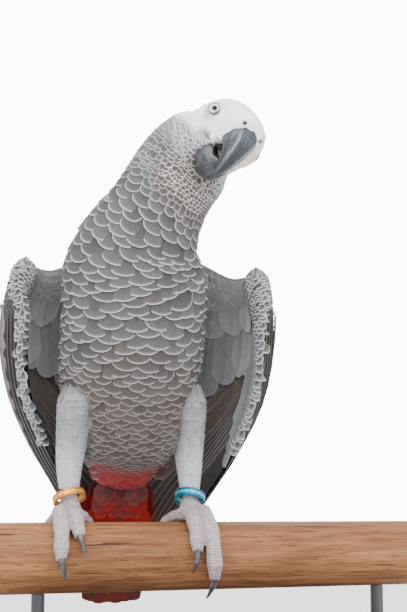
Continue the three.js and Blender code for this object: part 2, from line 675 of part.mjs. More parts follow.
const flesh = bodySolid(GAP);
const legPart = (name, side) => part(name, cut(legSolid(side), footSolid(side, GAP)), 'leg');
bird.add(
  ...buildBody(),
  ...buildBill(),
  part('eye_left', eyeball(1), 'eye'),
  part('eye_right', eyeball(-1), 'eye'),
  part('tail', cut(tailSolid(), flesh), 'red'),
  legPart('leg_left', 1),
  legPart('leg_right', -1),
  ...buildFoot(1),
  ...buildFoot(-1),
  ring('ring_left', 1, RING_LEFT, 'blue'),
  ring('ring_right', -1, RING_RIGHT, 'gold'),
  ...buildWing(1, flesh),
  ...buildWing(-1, flesh),
  part('perch', perchSolid(), 'wood'),
);

export default parrot;
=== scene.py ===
# %% [markdown]
# # A grey parrot on its perch
# This lesson dresses a measured model of a grey parrot. The frame gives every solid its place; here
# the solids of flesh become one skin, thousands of small vanes become the coat, and the bill, the
# eyes, the rings and the wood get their finishes. Lengths are millimetres measured from the middle
# of the bird's feet on top of the perch, and they become metres when a mesh is made.

# %% The frame
import math

import bmesh
import bpy
import numpy as np
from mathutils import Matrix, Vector
from mathutils.bvhtree import BVHTree


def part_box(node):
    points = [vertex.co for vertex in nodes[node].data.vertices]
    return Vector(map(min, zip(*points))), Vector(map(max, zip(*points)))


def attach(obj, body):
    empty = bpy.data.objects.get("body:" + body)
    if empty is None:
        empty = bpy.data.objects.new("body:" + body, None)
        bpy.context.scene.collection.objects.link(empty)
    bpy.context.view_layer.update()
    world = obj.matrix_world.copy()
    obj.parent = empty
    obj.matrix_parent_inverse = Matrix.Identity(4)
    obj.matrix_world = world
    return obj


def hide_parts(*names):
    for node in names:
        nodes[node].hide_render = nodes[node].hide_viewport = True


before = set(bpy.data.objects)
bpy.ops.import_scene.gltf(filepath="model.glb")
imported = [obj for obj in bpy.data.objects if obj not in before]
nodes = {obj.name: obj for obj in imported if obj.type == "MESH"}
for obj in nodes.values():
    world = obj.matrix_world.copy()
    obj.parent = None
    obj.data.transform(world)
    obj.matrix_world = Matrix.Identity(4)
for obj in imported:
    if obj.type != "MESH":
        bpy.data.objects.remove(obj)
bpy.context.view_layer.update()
MM = 0.001
SIDES = {"left": 1, "right": -1}
perch_low, perch_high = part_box("perch")
foot_boxes = [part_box(f"foot_{side}") for side in SIDES]
FEET = np.array([sum(low.x + high.x for low, high in foot_boxes) / 4, 0, perch_high.z]) / MM

# %% Small tools for arrays
rng = np.random.default_rng(7)


def norm(v):
    """Each vector's length."""
    return np.linalg.norm(v, axis=-1)


def unit(v):
    """Each vector divided by its own length."""
    return v / np.maximum(norm(v)[..., None], 1e-9)


def mix(a, b, t):
    """The value that lies t of the way from a to b."""
    return a + (b - a) * t


def ease(low, high, x):
    """0 below low, 1 above high, and a smooth S between them."""
    t = np.clip((x - low) / (high - low), 0, 1)
    return t * t * (3 - 2 * t)


def dot(a, b):
    """The dot product of two arrays of vectors."""
    return (a * b).sum(-1)


def along(rows, t):
    """A smooth curve through rows of numbers, t = 0 at the first and 1 at the last. Between two rows
    each number follows a cubic whose slope at a row is half the step between its neighbours."""
    rows = np.asarray(rows, float)
    place = np.clip(t, 0, 1) * (len(rows) - 1)
    i = np.minimum(place.astype(int), len(rows) - 2)
    f = (place - i)[..., None]
    before, here, ahead, after = (rows[np.clip(i + k, 0, len(rows) - 1)] for k in (-1, 0, 1, 2))
    slope, slope_ahead = (ahead - before) / 2, (after - here) / 2
    return ((2 * f**3 - 3 * f**2 + 1) * here + (f**3 - 2 * f**2 + f) * slope
            + (3 * f**2 - 2 * f**3) * ahead + (f**3 - f**2) * slope_ahead)


def to_frame(points):
    """Millimetres from the feet, as metres in the frame."""
    return (np.asarray(points) + FEET) * MM


def from_frame(points):
    """Metres in the frame, as millimetres from the feet."""
    return np.asarray(points) / MM - FEET


# %% [markdown]
# ## The camera
# The camera looks slightly up at the bird from its right side, with a long lens, so that the perch
# runs across the frame. Its place is given from the feet, with a heading and a pitch.

# %% Camera
LENS_MM = 80
HEADING = math.radians(13)  # towards the bird's right
PITCH = math.radians(7.9)  # the view looks up by this much
CAMERA_PLACE = [-143.4, -814.7, 16.2]

# %% The camera object
camera_data = bpy.data.cameras.new("camera")
camera_data.lens = LENS_MM
camera = bpy.data.objects.new("camera", camera_data)
camera.location = to_frame(CAMERA_PLACE)
camera.rotation_euler = (math.pi / 2 + PITCH, 0, -HEADING)
bpy.context.scene.collection.objects.link(camera)
bpy.context.scene.camera = camera

# %% [markdown]
# ## Shader tools
# A material is a graph, but its maths reads better as sums. `Value` wraps a socket so that `a * b`
# adds a Math node; colours go through `blend`, which adds a Mix node.


# %% Value and Finish
class Value:
    """A socket that can be added, multiplied and compared like a number."""

    def __init__(self, finish, socket):
        self.finish = finish
        self.socket = socket

    def maths(self, operation, other=0.0):
        return self.finish.node("ShaderNodeMath", {"operation": operation}, [self, other])

    __add__ = __radd__ = lambda self, other: self.maths("ADD", other)
    __mul__ = __rmul__ = lambda self, other: self.maths("MULTIPLY", other)
    __sub__ = lambda self, other: self.maths("SUBTRACT", other)
    __truediv__ = lambda self, other: self.maths("DIVIDE", other)
    __abs__ = lambda self: self.maths("ABSOLUTE")

    def __rsub__(self, other):
        return self.finish.node("ShaderNodeMath", {"operation": "SUBTRACT"}, [other, self])

    def smooth(self, low, high):
        """0 below low, 1 above high, and a smooth S between them."""
        settings = {"interpolation_type": "SMOOTHSTEP"}
        return self.finish.node("ShaderNodeMapRange", settings, [self, low, high, 0.0, 1.0])

    def limit(self):
        """Kept between 0 and 1."""
        return self.maths("MAXIMUM", 0.0).maths("MINIMUM", 1.0)


class Finish:
    """One material: a Principled shader and the nodes that feed it."""

    def __init__(self, name, roughness=0.6, **constants):
        self.material = bpy.data.materials.new(name)
        self.material.use_nodes = True
        self.tree = self.material.node_tree
        self.shader = self.tree.nodes["Principled BSDF"]
        for label, value in {"Roughness": roughness, **constants}.items():
            self.shader.inputs[label.replace("_", " ")].default_value = value

    def node(self, kind, settings, values, output=0):
        """Adds a node of this kind: settings first, then a value or a link for each input."""
        made = self.tree.nodes.new(kind)
        for label, value in settings.items():
            setattr(made, label, value)
        items = values.items() if isinstance(values, dict) else enumerate(values)
        for key, value in items:
            if isinstance(value, Value):
                self.tree.links.new(value.socket, made.inputs[key])
            elif value is not None:
                made.inputs[key].default_value = value
        return Value(self, made.outputs[output])

    def attribute(self, name, output="Fac"):
        return self.node("ShaderNodeAttribute", {"attribute_name": name}, [], output)

    def parts(self, vector):
        """A vector's x, y and z as three values."""
        split = self.node("ShaderNodeSeparateXYZ", {}, [vector])
        outputs = split.socket.node.outputs
        return [Value(self, outputs[i]) for i in range(3)]

    def vector(self, x, y, z):
        return self.node("ShaderNodeCombineXYZ", {}, [x, y, z])

    def place(self):
        """Object coordinates, in metres."""
        return self.node("ShaderNodeTexCoord", {}, [], "Object")

    def stretched(self, vector, *by):
        """The vector's parts, each so many times as large."""
        return self.node("ShaderNodeVectorMath", {"operation": "MULTIPLY"}, [vector, by])

    def noise(self, vector, scale, detail=2.0, roughness=0.5):
        values = {"Vector": vector, "Scale": scale, "Detail": detail, "Roughness": roughness}
        return self.node("ShaderNodeTexNoise", {}, values)

    def blend(self, factor, first, second, how="MIX"):
        """A Mix node on two colours."""
        settings = {"data_type": "RGBA", "blend_type": how}
        return self.node("ShaderNodeMix", settings, {0: factor, 6: rgba(first), 7: rgba(second)}, 2)

    def layers(self, colour, *coats):
        """A colour, and others over it in turn, each through its own mask."""
        for mask, over in coats:
            colour = self.blend(mask, colour, over)
        return colour

    def complete(self, colour, height=None, strength=0.0, distance=0.0, roughness=None):
        """Links the colour, and the bump and the roughness where they are given."""
        self.tree.links.new(colour.socket, self.shader.inputs["Base Color"])
        if height:
            values = {"Strength": strength, "Distance": distance, "Height": height}
            bump = self.node("ShaderNodeBump", {}, values)
            self.tree.links.new(bump.socket, self.shader.inputs["Normal"])
        if roughness:
            self.tree.links.new(roughness.socket, self.shader.inputs["Roughness"])
        return self


def rgba(colour):
    """A colour given as three numbers gets an alpha; a link stays as it is."""
    return colour if isinstance(colour, Value) else (*colour, 1.0)


def shade(*levels):
    """Display levels, 0 to 255, as the linear colour that a shader takes."""
    c = np.array(levels) / 255
    return tuple(np.where(c <= 0.04045, c / 12.92, ((c + 0.055) / 1.055) ** 2.4).tolist())


def tone(*levels):
    """The same, as an array to reckon with."""
    return np.array(shade(*levels))


# %% [markdown]
# ## Mesh tools
# Every new piece is arrays of points and faces. `piece` makes an object of the mesh in the frame and
# carries it on the frame's one body.


# %% piece
def grid_faces(rows, columns, closed=False):
    """The four corners of each cell of a grid of points numbered row by row."""
    i, j = np.meshgrid(np.arange(rows - 1), np.arange(columns - (not closed)), indexing="ij")
    ahead = (j + 1) % columns
    cells = [i * columns + j, i * columns + ahead, (i + 1) * columns + ahead, (i + 1) * columns + j]
    return np.stack(cells, -1).reshape(-1, 4)


def mesh_of(name, points, faces):
    """A mesh in the frame from points in millimetres and an array of faces."""
    mesh = bpy.data.meshes.new(name)
    mesh.vertices.add(len(points))
    mesh.vertices.foreach_set("co", to_frame(points).astype(np.float32).ravel())
    faces = np.asarray(faces)
    mesh.loops.add(faces.size)
    mesh.loops.foreach_set("vertex_index", faces.astype(np.int32).ravel())
    mesh.polygons.add(len(faces))
    mesh.polygons.foreach_set("loop_start", np.arange(0, faces.size, faces.shape[1], dtype=np.int32))
    mesh.polygons.foreach_set("use_smooth", np.ones(len(faces), bool))
    mesh.update(calc_edges=True)
    mesh.validate()
    return mesh


def put(name, data):
    """A new object in the scene."""
    made = bpy.data.objects.new(name, data)
    bpy.context.scene.collection.objects.link(made)
    return made


def piece(name, mesh, finish, slot, *replaced):
    """An object of the mesh that rides on the frame's one body, in place of the named nodes."""
    made = put(name, mesh)
    mesh.materials.append(finish.material)
    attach(made, "root")
    if replaced:
        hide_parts(*replaced)
    return made


def paint(mesh, name, values):
    """Stores one number, vector or colour at each vertex."""
    values = np.asarray(values, np.float32)
    kinds = {1: ("FLOAT", "value"), 3: ("FLOAT_VECTOR", "vector"), 4: ("FLOAT_COLOR", "color")}
    kind, key = kinds[1 if values.ndim == 1 else values.shape[1]]
    mesh.attributes.new(name, kind, "POINT").data.foreach_set(key, values.ravel())


def merged_nodes(*names):
    """A copy of some nodes' solids as one mesh: points in millimetres and triangles."""
    points, triangles = [], []
    for name in names:
        work = bmesh.new()
        work.from_mesh(nodes[name].data)
        bmesh.ops.remove_doubles(work, verts=work.verts, dist=1e-6)
        bmesh.ops.triangulate(work, faces=work.faces)
        corners = np.array([[v.index for v in f.verts] for f in work.faces])
        triangles.append(corners + sum(map(len, points)))
        points.append(from_frame([v.co[:] for v in work.verts]))
        work.free()
    return np.concatenate(points), np.concatenate(triangles)


def even_grid(rows, columns):
    """How far down and how far across each point of a grid lies, from 0 to 1."""
    return np.meshgrid(np.linspace(0, 1, rows), np.linspace(0, 1, columns), indexing="ij")


def tree_of(points, faces):
    """The surface of these faces, for rays and nearest places."""
    return BVHTree.FromPolygons(points.tolist(), faces.tolist())


def grid_tree(grid, closed=False):
    """The surface through a grid of points."""
    return tree_of(grid.reshape(-1, 3), grid_faces(*grid.shape[:2], closed))


def nearest(points, tree):
    """The nearest place on a surface to each point, and how far away it is."""
    found = [tree.find_nearest(Vector(p)) for p in points]
    return np.array([f[0] for f in found]), np.array([f[3] for f in found])


# %% [markdown]
# ## Surfaces
# Feathers grow on a surface, so the body, each leg and each wing is first a `Sheet`: a grid of
# points that can be read anywhere by two numbers, u round it and v along it. The body's sheet is
# measured from the solids, by rays that run out from a line through its middle.


# %% Sheet
class Sheet:
    """A surface through a grid of points [v, u]. A point between four of them is their mix by how
    near each is. Its normal is the cross product of its two slopes, turned outwards."""

    STEP = 0.004

    def __init__(self, grid, closed, outwards=1, margin=0.0):
        self.grid = grid
        self.closed = closed
        self.outwards = outwards
        self.margin = margin  # slopes nearer the ends than this are read at the margin
        self.round_length = norm(np.diff(grid, axis=1)).sum(1)
        self.down_length = norm(np.diff(grid, axis=0)).sum(0).mean()

    def at(self, u, v):
        rows, columns = self.grid.shape[:2]
        y = np.clip(v, 0, 1) * (rows - 1)
        x = (u % 1) * columns if self.closed else np.clip(u, 0, 1) * (columns - 1)
        i = np.minimum(y.astype(int), rows - 2)
        j = np.minimum(x.astype(int), columns - (1 if self.closed else 2))
        ahead = (j + 1) % columns
        fy, fx = (y - i)[..., None], (x - j)[..., None]
        g = self.grid
        return ((1 - fy) * ((1 - fx) * g[i, j] + fx * g[i, ahead])
                + fy * ((1 - fx) * g[i + 1, j] + fx * g[i + 1, ahead]))

    def slopes(self, u, v):
        """How far the surface moves, in millimetres, for a whole turn of u and for all of v."""
        v = np.clip(v, self.margin, 1 - self.margin)
        low, high = np.clip(v - self.STEP, 0, 1), np.clip(v + self.STEP, 0, 1)
        if not self.closed:
            u = np.clip(u, self.STEP, 1 - self.STEP)
        left, right = u - self.STEP, u + self.STEP
        round_it = (self.at(right, v) - self.at(left, v)) / (right - left)[..., None]
        along_it = (self.at(u, high) - self.at(u, low)) / (high - low)[..., None]
        return round_it, along_it, self.outwards * unit(np.cross(round_it, along_it))

    def move(self, u, v, way):
        """Where a short move over the surface, as a vector in millimetres, leads in u and v. It
        solves the two equations that say how much of each slope the vector holds. At a sharp fold
        the slopes are nearly parallel, so a move is kept to three times what an even sheet gives."""
        su, sv, _ = self.slopes(u, v)
        uu, vv, uv = dot(su, su), dot(sv, sv), dot(su, sv)
        a, b = dot(su, way), dot(sv, way)
        det = np.maximum(uu * vv - uv * uv, 1e-6 * uu * vv + 1e-9)
        far = 3 * norm(way)
        rows = np.linspace(0, 1, len(self.round_length))
        most_u = far / np.maximum(np.interp(v, rows, self.round_length), 5)
        most_v = far / self.down_length
        return (u + np.clip((a * vv - b * uv) / det, -most_u, most_u),
                v + np.clip((b * uu - a * uv) / det, -most_v, most_v))

    def face(self, way, u):
        """Turns the normals over, where the one halfway down at u doesn't point this way."""
        if self.slopes(np.array([u]), np.array([0.5]))[2][0] @ way < 0:
            self.outwards *= -1


def rays_out(tree, centre, way, reach):
    """The farthest point that a ray from the centre meets within its reach."""
    far, start = None, 0.0
    while start < reach:
        hit = tree.ray_cast(Vector(centre + way * start), Vector(way), reach - start)
        if hit[0] is None:
            break
        far = np.array(hit[0])
        start = float(np.dot(far - centre, way)) + 0.05
    return far


def soften(grid, times, closed):
    """Each point moved halfway to the mean of its neighbours, a number of times."""
    for _ in range(times):
        if closed:
            across = (np.roll(grid, 1, 1) + np.roll(grid, -1, 1)) / 2
        else:
            across = grid.copy()
            across[:, 1:-1] = (grid[:, :-2] + grid[:, 2:]) / 2
        down = across.copy()
        down[1:-1] = (across[:-2] + across[2:]) / 2
        grid = (grid + across + 2 * down) / 4
    return grid


# %% The head's own axes, from the two eyes and the way the bill points
eye_middles = {side: from_frame(sum(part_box(f"eye_{side}"), Vector()) / 2) for side in SIDES}
HEAD_LEFT = unit(eye_middles["left"] - eye_middles["right"])
HEAD_FORWARD = np.array([0.235, -0.947, -0.220])
HEAD_FORWARD = unit(HEAD_FORWARD - HEAD_LEFT * (HEAD_FORWARD @ HEAD_LEFT))
HEAD_UP = np.cross(HEAD_FORWARD, HEAD_LEFT)
EYE_FORWARD, EYE_UP = 2.29, 1.56  # where the eyes' middles lie from the head's middle
HEAD = sum(eye_middles.values()) / 2 - HEAD_FORWARD * EYE_FORWARD - HEAD_UP * EYE_UP


def in_head(points):
    """Points as forward, left and up from the head's middle."""
    p = np.asarray(points) - HEAD
    return p @ HEAD_FORWARD, p @ HEAD_LEFT, p @ HEAD_UP


def from_head(forward, left, up):
    """The place that lies so far forward, left and up of the head's middle."""
    ways = [np.multiply.outer(np.asarray(a, float), b)
            for a, b in ((forward, HEAD_FORWARD), (left, HEAD_LEFT), (up, HEAD_UP))]
    return HEAD + ways[0] + ways[1] + ways[2]


# %% The body's middle line, and the sheet round it
# From the tail's root up to the neck, then round the throat, as on a hinge, to the forehead.
SPINE = np.array([[0, 41, 19], [0, 34, 33], [-1, 18, 52], [-2, 4, 76], [-2, -9, 103], [-2, -18, 128],
                  [-3, -26, 150], [0, -35, 168], [6.5, -41, 182], [13.5, -45, 196.5],
                  [22, -48.5, 208.5]])
THROAT = from_head(15, 0, -29.4)
BEND = 14  # stations round the throat
FACE, FACE_UP = (15, 26), (-2, 2.6)  # how far forward and up the last straight stretch runs
BODY_GRID = (240, 180)


def spine_stations():
    """The centre of each section. Round the throat they turn on a hinge that runs across the head,
    so no two sections cross."""
    centres = list(along(SPINE, np.linspace(0, 1, 60)))
    start, end = SPINE[-1] - THROAT, from_head(FACE[0], 0, FACE_UP[0]) - THROAT
    first, last = np.linalg.norm(start), np.linalg.norm(end)
    for t in np.linspace(0, 1, BEND + 1)[1:]:
        centres.append(THROAT + unit(mix(start / first, end / last, t)) * mix(first, last, t))
    centres += [from_head(mix(*FACE, t), 0, mix(*FACE_UP, t)) for t in np.linspace(0, 1, 9)[1:]]
    return np.array(centres)


TORSO_LEFT = np.array([math.cos(math.radians(12)), -math.sin(math.radians(12)), 0])


def measure_body():
    """The sheet of trunk, neck and head: for each section, rays run out from its centre, square to
    the middle line, to the outermost skin of the three solids. Where a ray meets nothing, its reach
    comes from the rays beside it."""
    tree = tree_of(*merged_nodes("trunk", "neck", "head"))
    centres = spine_stations()
    ways = unit(np.gradient(centres, axis=0))
    ways = unit(soften(ways[:, None], 3, False)[:, 0])
    head_share = ease(150, 208, centres[:, 2])
    angles = np.linspace(0, 2 * np.pi, BODY_GRID[1], endpoint=False)[:, None]
    grid = []
    for centre, way, share in zip(centres, ways, head_share):
        left = mix(TORSO_LEFT, HEAD_LEFT, share)
        left = unit(left - way * (left @ way))
        behind = unit(np.cross(way, left))
        rays = np.cos(angles) * left + np.sin(angles) * behind
        hits = [rays_out(tree, centre, ray, 60.0) for ray in rays]
        met = [k for k, p in enumerate(hits) if p is not None]
        far = 2.0 + 0 * angles[:, 0]  # where the section meets nothing at all
        if met:
            reach = norm(np.array([hits[k] for k in met]) - centre)
            far = np.interp(np.arange(len(hits)), met, reach, period=len(hits))
        grid.append([centre + f * ray if p is None else p for p, f, ray in zip(hits, far, rays)])
    ends = [np.repeat(place[None], BODY_GRID[1], 0) for place in (centres[0], from_head(27.2, 0, 3.8))]
    grid = np.array([ends[0], *grid, ends[1]])[::-1]
    lengths = norm(np.diff(grid, axis=0)).mean(1)
    place = np.append(0, np.cumsum(lengths)) / lengths.sum()
    even = np.linspace(0, 1, BODY_GRID[0])
    i = np.clip(np.searchsorted(place, even) - 1, 0, len(place) - 2)
    f = ((even - place[i]) / (place[i + 1] - place[i]))[:, None, None]
    return Sheet(soften(mix(grid[i], grid[i + 1], f), 6, True), True)


body_sheet = measure_body()
body_sheet.face(body_sheet.at(np.array(0.0), np.array(0.5)) - body_sheet.grid.mean((0, 1)), 0.0)

# %% [markdown]
# ## Legs
# Each feathered leg is a sheet of its own, from the flank to the ring. Its middle line is worked out
# from the leg's solid: the middle of its box at each height.


# %% Leg sheets
LEG_GRID = (60, 48)  # sections down a leg, and points round each


def measure_leg(side):
    """Rays run out level from the leg's middle at each height, to the leg's outer surface."""
    points, triangles = merged_nodes(f"leg_{side}")
    tree = tree_of(points, triangles)
    heights = np.linspace(points[:, 2].max() - 3, points[:, 2].min() + 0.6, LEG_GRID[0])
    angles = np.linspace(0, 2 * np.pi, LEG_GRID[1], endpoint=False)
    rays = np.stack([np.cos(angles), np.sin(angles), 0 * angles], -1)
    grid = []
    for z in heights:
        near = points[np.abs(points[:, 2] - z) < 8]
        centre = np.array([*(near.min(0) + near.max(0))[:2] / 2, z])
        grid.append([rays_out(tree, centre, ray, 40.0) for ray in rays])
    return Sheet(soften(np.array(grid), 3, True), True, -1)


leg_sheets = {side: measure_leg(side) for side in SIDES}

# %% [markdown]
# ## The coat's size and colour
# Feathers are smallest on the face and largest at the foot of the neck. Their colour is worked out
# from the same formula as the skin's: white on the face, grey over the body, warmer on the belly,
# red under the tail. Nothing is painted by hand.

# %% Regions
GREY = tone(85, 85, 87)
WARM = tone(82, 74, 69)
BROWN = tone(84, 73, 65)
PALE = tone(108, 110, 115)
WHITE = tone(246, 246, 249)
LEG = tone(181, 182, 185)
# A warm beige that is painted shade on the face's far side from the light.
FAR_FACE_SHADE = tone(224, 208, 198)
RED = tone(184, 26, 16)


def regions(p):
    """How far each point belongs to the face, the head, the throat, the belly, the front and the
    vent, each from 0 to 1."""
    forward, _, up = in_head(p)
    reach = norm(p - HEAD)
    face = ease(-16, -8, up + 0.25 * forward) * ease(38, 27, reach) * ease(-25, -14, forward)
    head = ease(66, 26, reach)
    throat = ease(-17, -27, up) * ease(-16, 2, forward) * ease(57, 43, reach)
    front = ease(30, -30, p[..., 1] + 0.35 * p[..., 2] - 22)
    belly = ease(140, 70, p[..., 2]) * front
    vent = ease(44, 32, p[..., 2]) * ease(-8, 10, p[..., 1] + 0.5 * (p[..., 2] - 40))
    return face, head, throat, belly, front, vent


SIZE_REACH = [20, 28, 38, 47, 60, 112]  # distances from the head's middle, and what shows there
SIZE_SHOWN = [1.5, 1.6, 2.1, 3.0, 4.7, 5.2]
BREAST_SHOWN, BELLY_SHOWN, THROAT_SHOWN, FACE_SHOWN = 3.9, 3.3, 1.7, 1.5


def coat_size(p, u=None, v=None):
    """The distance from one row of feathers to the next, and a feather's width, in millimetres."""
    face, _, throat, _, front, _ = regions(p)
    shown = np.interp(norm(p - HEAD), SIZE_REACH, SIZE_SHOWN)
    shown = mix(shown, BREAST_SHOWN, ease(125, 85, p[..., 2]) * front)
    shown = mix(shown, BELLY_SHOWN, ease(85, 60, p[..., 2]) * front)
    shown = mix(mix(shown, THROAT_SHOWN, throat), FACE_SHOWN, face)
    return shown, shown * np.interp(shown, [2.2, 4.4], [2.0, 3.0])


def coat_colour(p, chance=0.0):
    """The feathers' colour at a place, before the pale edge, with painted warm shade at the front of
    the face on its left side. A feather whose chance is near 1 is browner than its neighbours."""
    face, head, throat, belly, front, vent = (r[..., None] for r in regions(p))
    chance = np.asarray(chance, float)[..., None]
    colour = mix(GREY, WARM, np.clip(belly * 0.9 + 0.5 * front * chance**4, 0, 1))
    colour = mix(colour, PALE, head)
    colour = mix(colour, BROWN, throat * 0.9)
    colour = mix(colour, WHITE, face)
    forward, left, _ = in_head(p)
    # Painted shade: the front of the face on the bird's left, away from the light, is tinted warm
    # beige.
    colour = mix(colour, FAR_FACE_SHADE, (ease(3, 9, left) * ease(4, 14, forward))[..., None] * face)
    return mix(colour, mix(GREY, RED, 0.6), vent * 0.95)


def coat_rim(p, shown):
    """How strong the pale edge of each feather is, and how wide, in millimetres."""
    face, head, throat, belly, _, vent = regions(p)
    strength = mix(0.82, 0.30, belly) * (1 - 0.95 * face) * (1 - 0.9 * vent) * (1 - 0.35 * throat)
    return np.stack([strength, np.clip(0.085 * shown, 0.16, 0.38) + 0.06 * head], -1)


# %% [markdown]
# ## Vanes
# One feather is a small curved blade. It grows from a root under its neighbours, its shaft walks
# over the sheet along the lie, and its rows bow so that its tip is round. All feathers of a coat are
# worked out at once, as arrays.

# %% vanes
UNEVEN = 0.05  # how far feathers stray from their rows, in spaces
KEEP_COUNT = 0.16  # how far widths may stray before a row gets another count
SHAFT_STEPS = 8  # a feather's shaft walks over the sheet in so many steps
ROUNDNESS = 2.3  # the power that rounds a feather's tip
PATCH = 0.003  # a feather's size in the unwrap


def staggered(sheet, size, start, stop):
    """Roots in rows of equal v. Each is u, v, the distance to the next row and the width. The next
    row starts where the longest walks reach the wanted distance, and where a row would come too soon
    it is left out. A row keeps its neighbour's count while the widths stay near the wanted ones, so
    that every other row starts half a width on."""
    u = np.linspace(0, 1, 121)
    v = np.linspace(start, stop, 500)
    grid = sheet.at(*np.broadcast_arrays(u[None, :], v[:, None]))
    want, _ = size(grid, *np.broadcast_arrays(u[None, :], v[:, None]))
    steps = norm(np.diff(grid, axis=0)) / want[1:]
    number = np.append(0, np.cumsum(np.quantile(steps, 0.75, axis=1)))
    lines = np.interp(np.arange(0.5, number[-1]), number, v)
    roots, count = [], 0
    for k, (line, gap) in enumerate(zip(lines, np.gradient(lines))):
        points = sheet.at(u, line + 0 * u)
        _, wide = size(points, u, line + 0 * u)
        apart = norm(np.diff(points, axis=0)) / ((wide[1:] + wide[:-1]) / 2)
        total = np.append(0, np.cumsum(apart))
        if not count or abs(total[-1] / count - 1) > KEEP_COUNT:
            count = max(3, round(total[-1]))
        places = (np.arange(count) + 0.5 * (k % 2) + rng.normal(0, UNEVEN, count)) / count * total[-1]
        at_u = np.interp(places % total[-1], total, u)
        at_v = line + rng.normal(0, UNEVEN, count) * gap
        local = norm(sheet.slopes(at_u, at_v)[1]) * gap
        want, wide = size(sheet.at(at_u, at_v), at_u, at_v)
        fold = np.maximum(1, np.floor(want / np.maximum(local, 0.05) + 0.15))
        shown = np.clip(local * fold, 0.75 * want, 1.7 * want)
        made = np.stack([at_u, at_v, shown, wide * total[-1] / count], 1)
        roots.append(made[k % fold == 0])
    return np.concatenate(roots)


def lie_of(sheet, u, v):
    """The unit vectors along the lie, which is the slope along v, and across it."""
    _, sv, normal = sheet.slopes(u, v)
    ahead = unit(sv - normal * dot(sv, normal)[..., None])
    return ahead, np.cross(normal, ahead)


def feather_parts(points, edge, s, t, roots, over=False):
    """Points, faces, what the finish reads (the distance to the outline, across and down) and the
    unwrap: a patch at the place of the root."""
    count, rows, columns = points.shape[:3]
    cells = grid_faces(rows, columns)
    faces = (cells[None] + (np.arange(count) * rows * columns)[:, None, None]).reshape(-1, 4)
    reads = np.stack(np.broadcast_arrays(edge, t + 0 * edge, s + 0 * edge), -1)
    patch = np.stack(np.broadcast_arrays(t * 0.5, s - 0.5 + 0 * t), -1) * PATCH
    home = np.stack([roots[:, 0] % 1, roots[:, 1]], 1)[:, None, None, :] * 0.99 + 0.005
    return (points.reshape(-1, 3), faces[:, ::-1] if over else faces, reads.reshape(-1, 3),
            np.clip(home + patch, 0, 1).reshape(-1, 2))


def each(count, *values):
    """Each value as one number for every feather."""
    return [np.broadcast_to(np.asarray(a, float), count)[:, None, None] for a in values]


def vanes(sheet, roots, length, width, sink, lift, turn=0.0, rows=7, columns=9, roll=0.0, tip=1.0,
          camber=0.12, taper=0.45):
    """All feathers of a coat. For row s from 0 at the root to 1 at the tip, and column t from -1 to 1
    across, the point lies s times the length along the shaft, less the bow
    tip * (1 - (1 - |t|^2.3)^(1/2.3)) * half width, and t times the half width to the side. Its height
    over the sheet goes from -sink at the root to lift at the tip, less the camber."""
    count = len(roots)
    full, half, sink, lift, angle, roll = each(count, length, width, sink, lift, turn, roll)
    half = half / 2
    s = (np.linspace(0, 1, rows) ** 0.8)[None, :, None]
    t = np.sin(np.linspace(-1, 1, columns) * np.pi / 2 * 0.94)[None, None, :]
    u, v = roots[:, 0].copy(), roots[:, 1].copy()
    walk = [(u, v)]
    for _ in range(SHAFT_STEPS):
        ahead, side = lie_of(sheet, u, v)
        way = ahead * np.cos(angle[:, 0]) + side * np.sin(angle[:, 0])
        u, v = sheet.move(u, v, way * (full[:, 0] / SHAFT_STEPS))
        v = np.clip(v, 0, 1)
        walk.append((u, v))
    walk = np.array(walk)  # [step, 2, count]
    spread = mix(taper, 1.0, ease(0, 0.55, s))
    bow = tip * half * (1 - np.maximum(0, 1 - np.abs(t) ** ROUNDNESS) ** (1 / ROUNDNESS))
    reach = s * (full - bow) / full  # share of the shaft's length
    place = np.clip(reach, 0, 1) * SHAFT_STEPS
    i = np.minimum(place.astype(int), SHAFT_STEPS - 1)
    which = np.arange(count)[:, None, None]
    u, v = (mix(walk[i, k, which], walk[i + 1, k, which], place - i) for k in (0, 1))
    ahead, side = lie_of(sheet, u, v)
    across = side * np.cos(angle[..., None]) - ahead * np.sin(angle[..., None])
    u, v = sheet.move(u, v, across * (t * half * spread)[..., None])
    v = np.clip(v, 0, 1)
    height = mix(-sink, lift, reach ** 1.15) - camber * half * t * t * spread + roll * t * half
    points = sheet.at(u, v) + sheet.slopes(u, v)[2] * height[..., None]
    edge = np.minimum(s * 0 + (1 - s) * full, half * spread * (1.02 - np.abs(t)))
    return feather_parts(points, edge, s, t, roots, sheet.outwards < 0)


def strewn(sheet, roots, long, broad, sink, lift, turn=0.06, roll=0.03, rows=7, columns=9):
    """Vanes so many times as long as what shows of them, and so many times as wide as their share,
    each turned and rolled a little by chance."""
    return vanes(sheet, roots, roots[:, 2] * long, roots[:, 3] * broad, sink, lift,
                 rng.normal(0, turn, len(roots)), rows, columns, rng.normal(0, roll, len(roots)))


def growing(first, last, low, high, broad):
    """A size for `staggered`: what shows goes from first to last between two values of v."""
    def size(p, u, v):
        shown = mix(first, last, ease(low, high, v)) + 0 * u
        return shown, shown * broad
    return size


def in_proportion(shown, wide, rate=1):
    """A size for `staggered` whose two measures grow evenly with v."""
    return lambda p, u, v: (mix(*shown, v * rate) + 0 * u, mix(*wide, v * rate) + 0 * u)


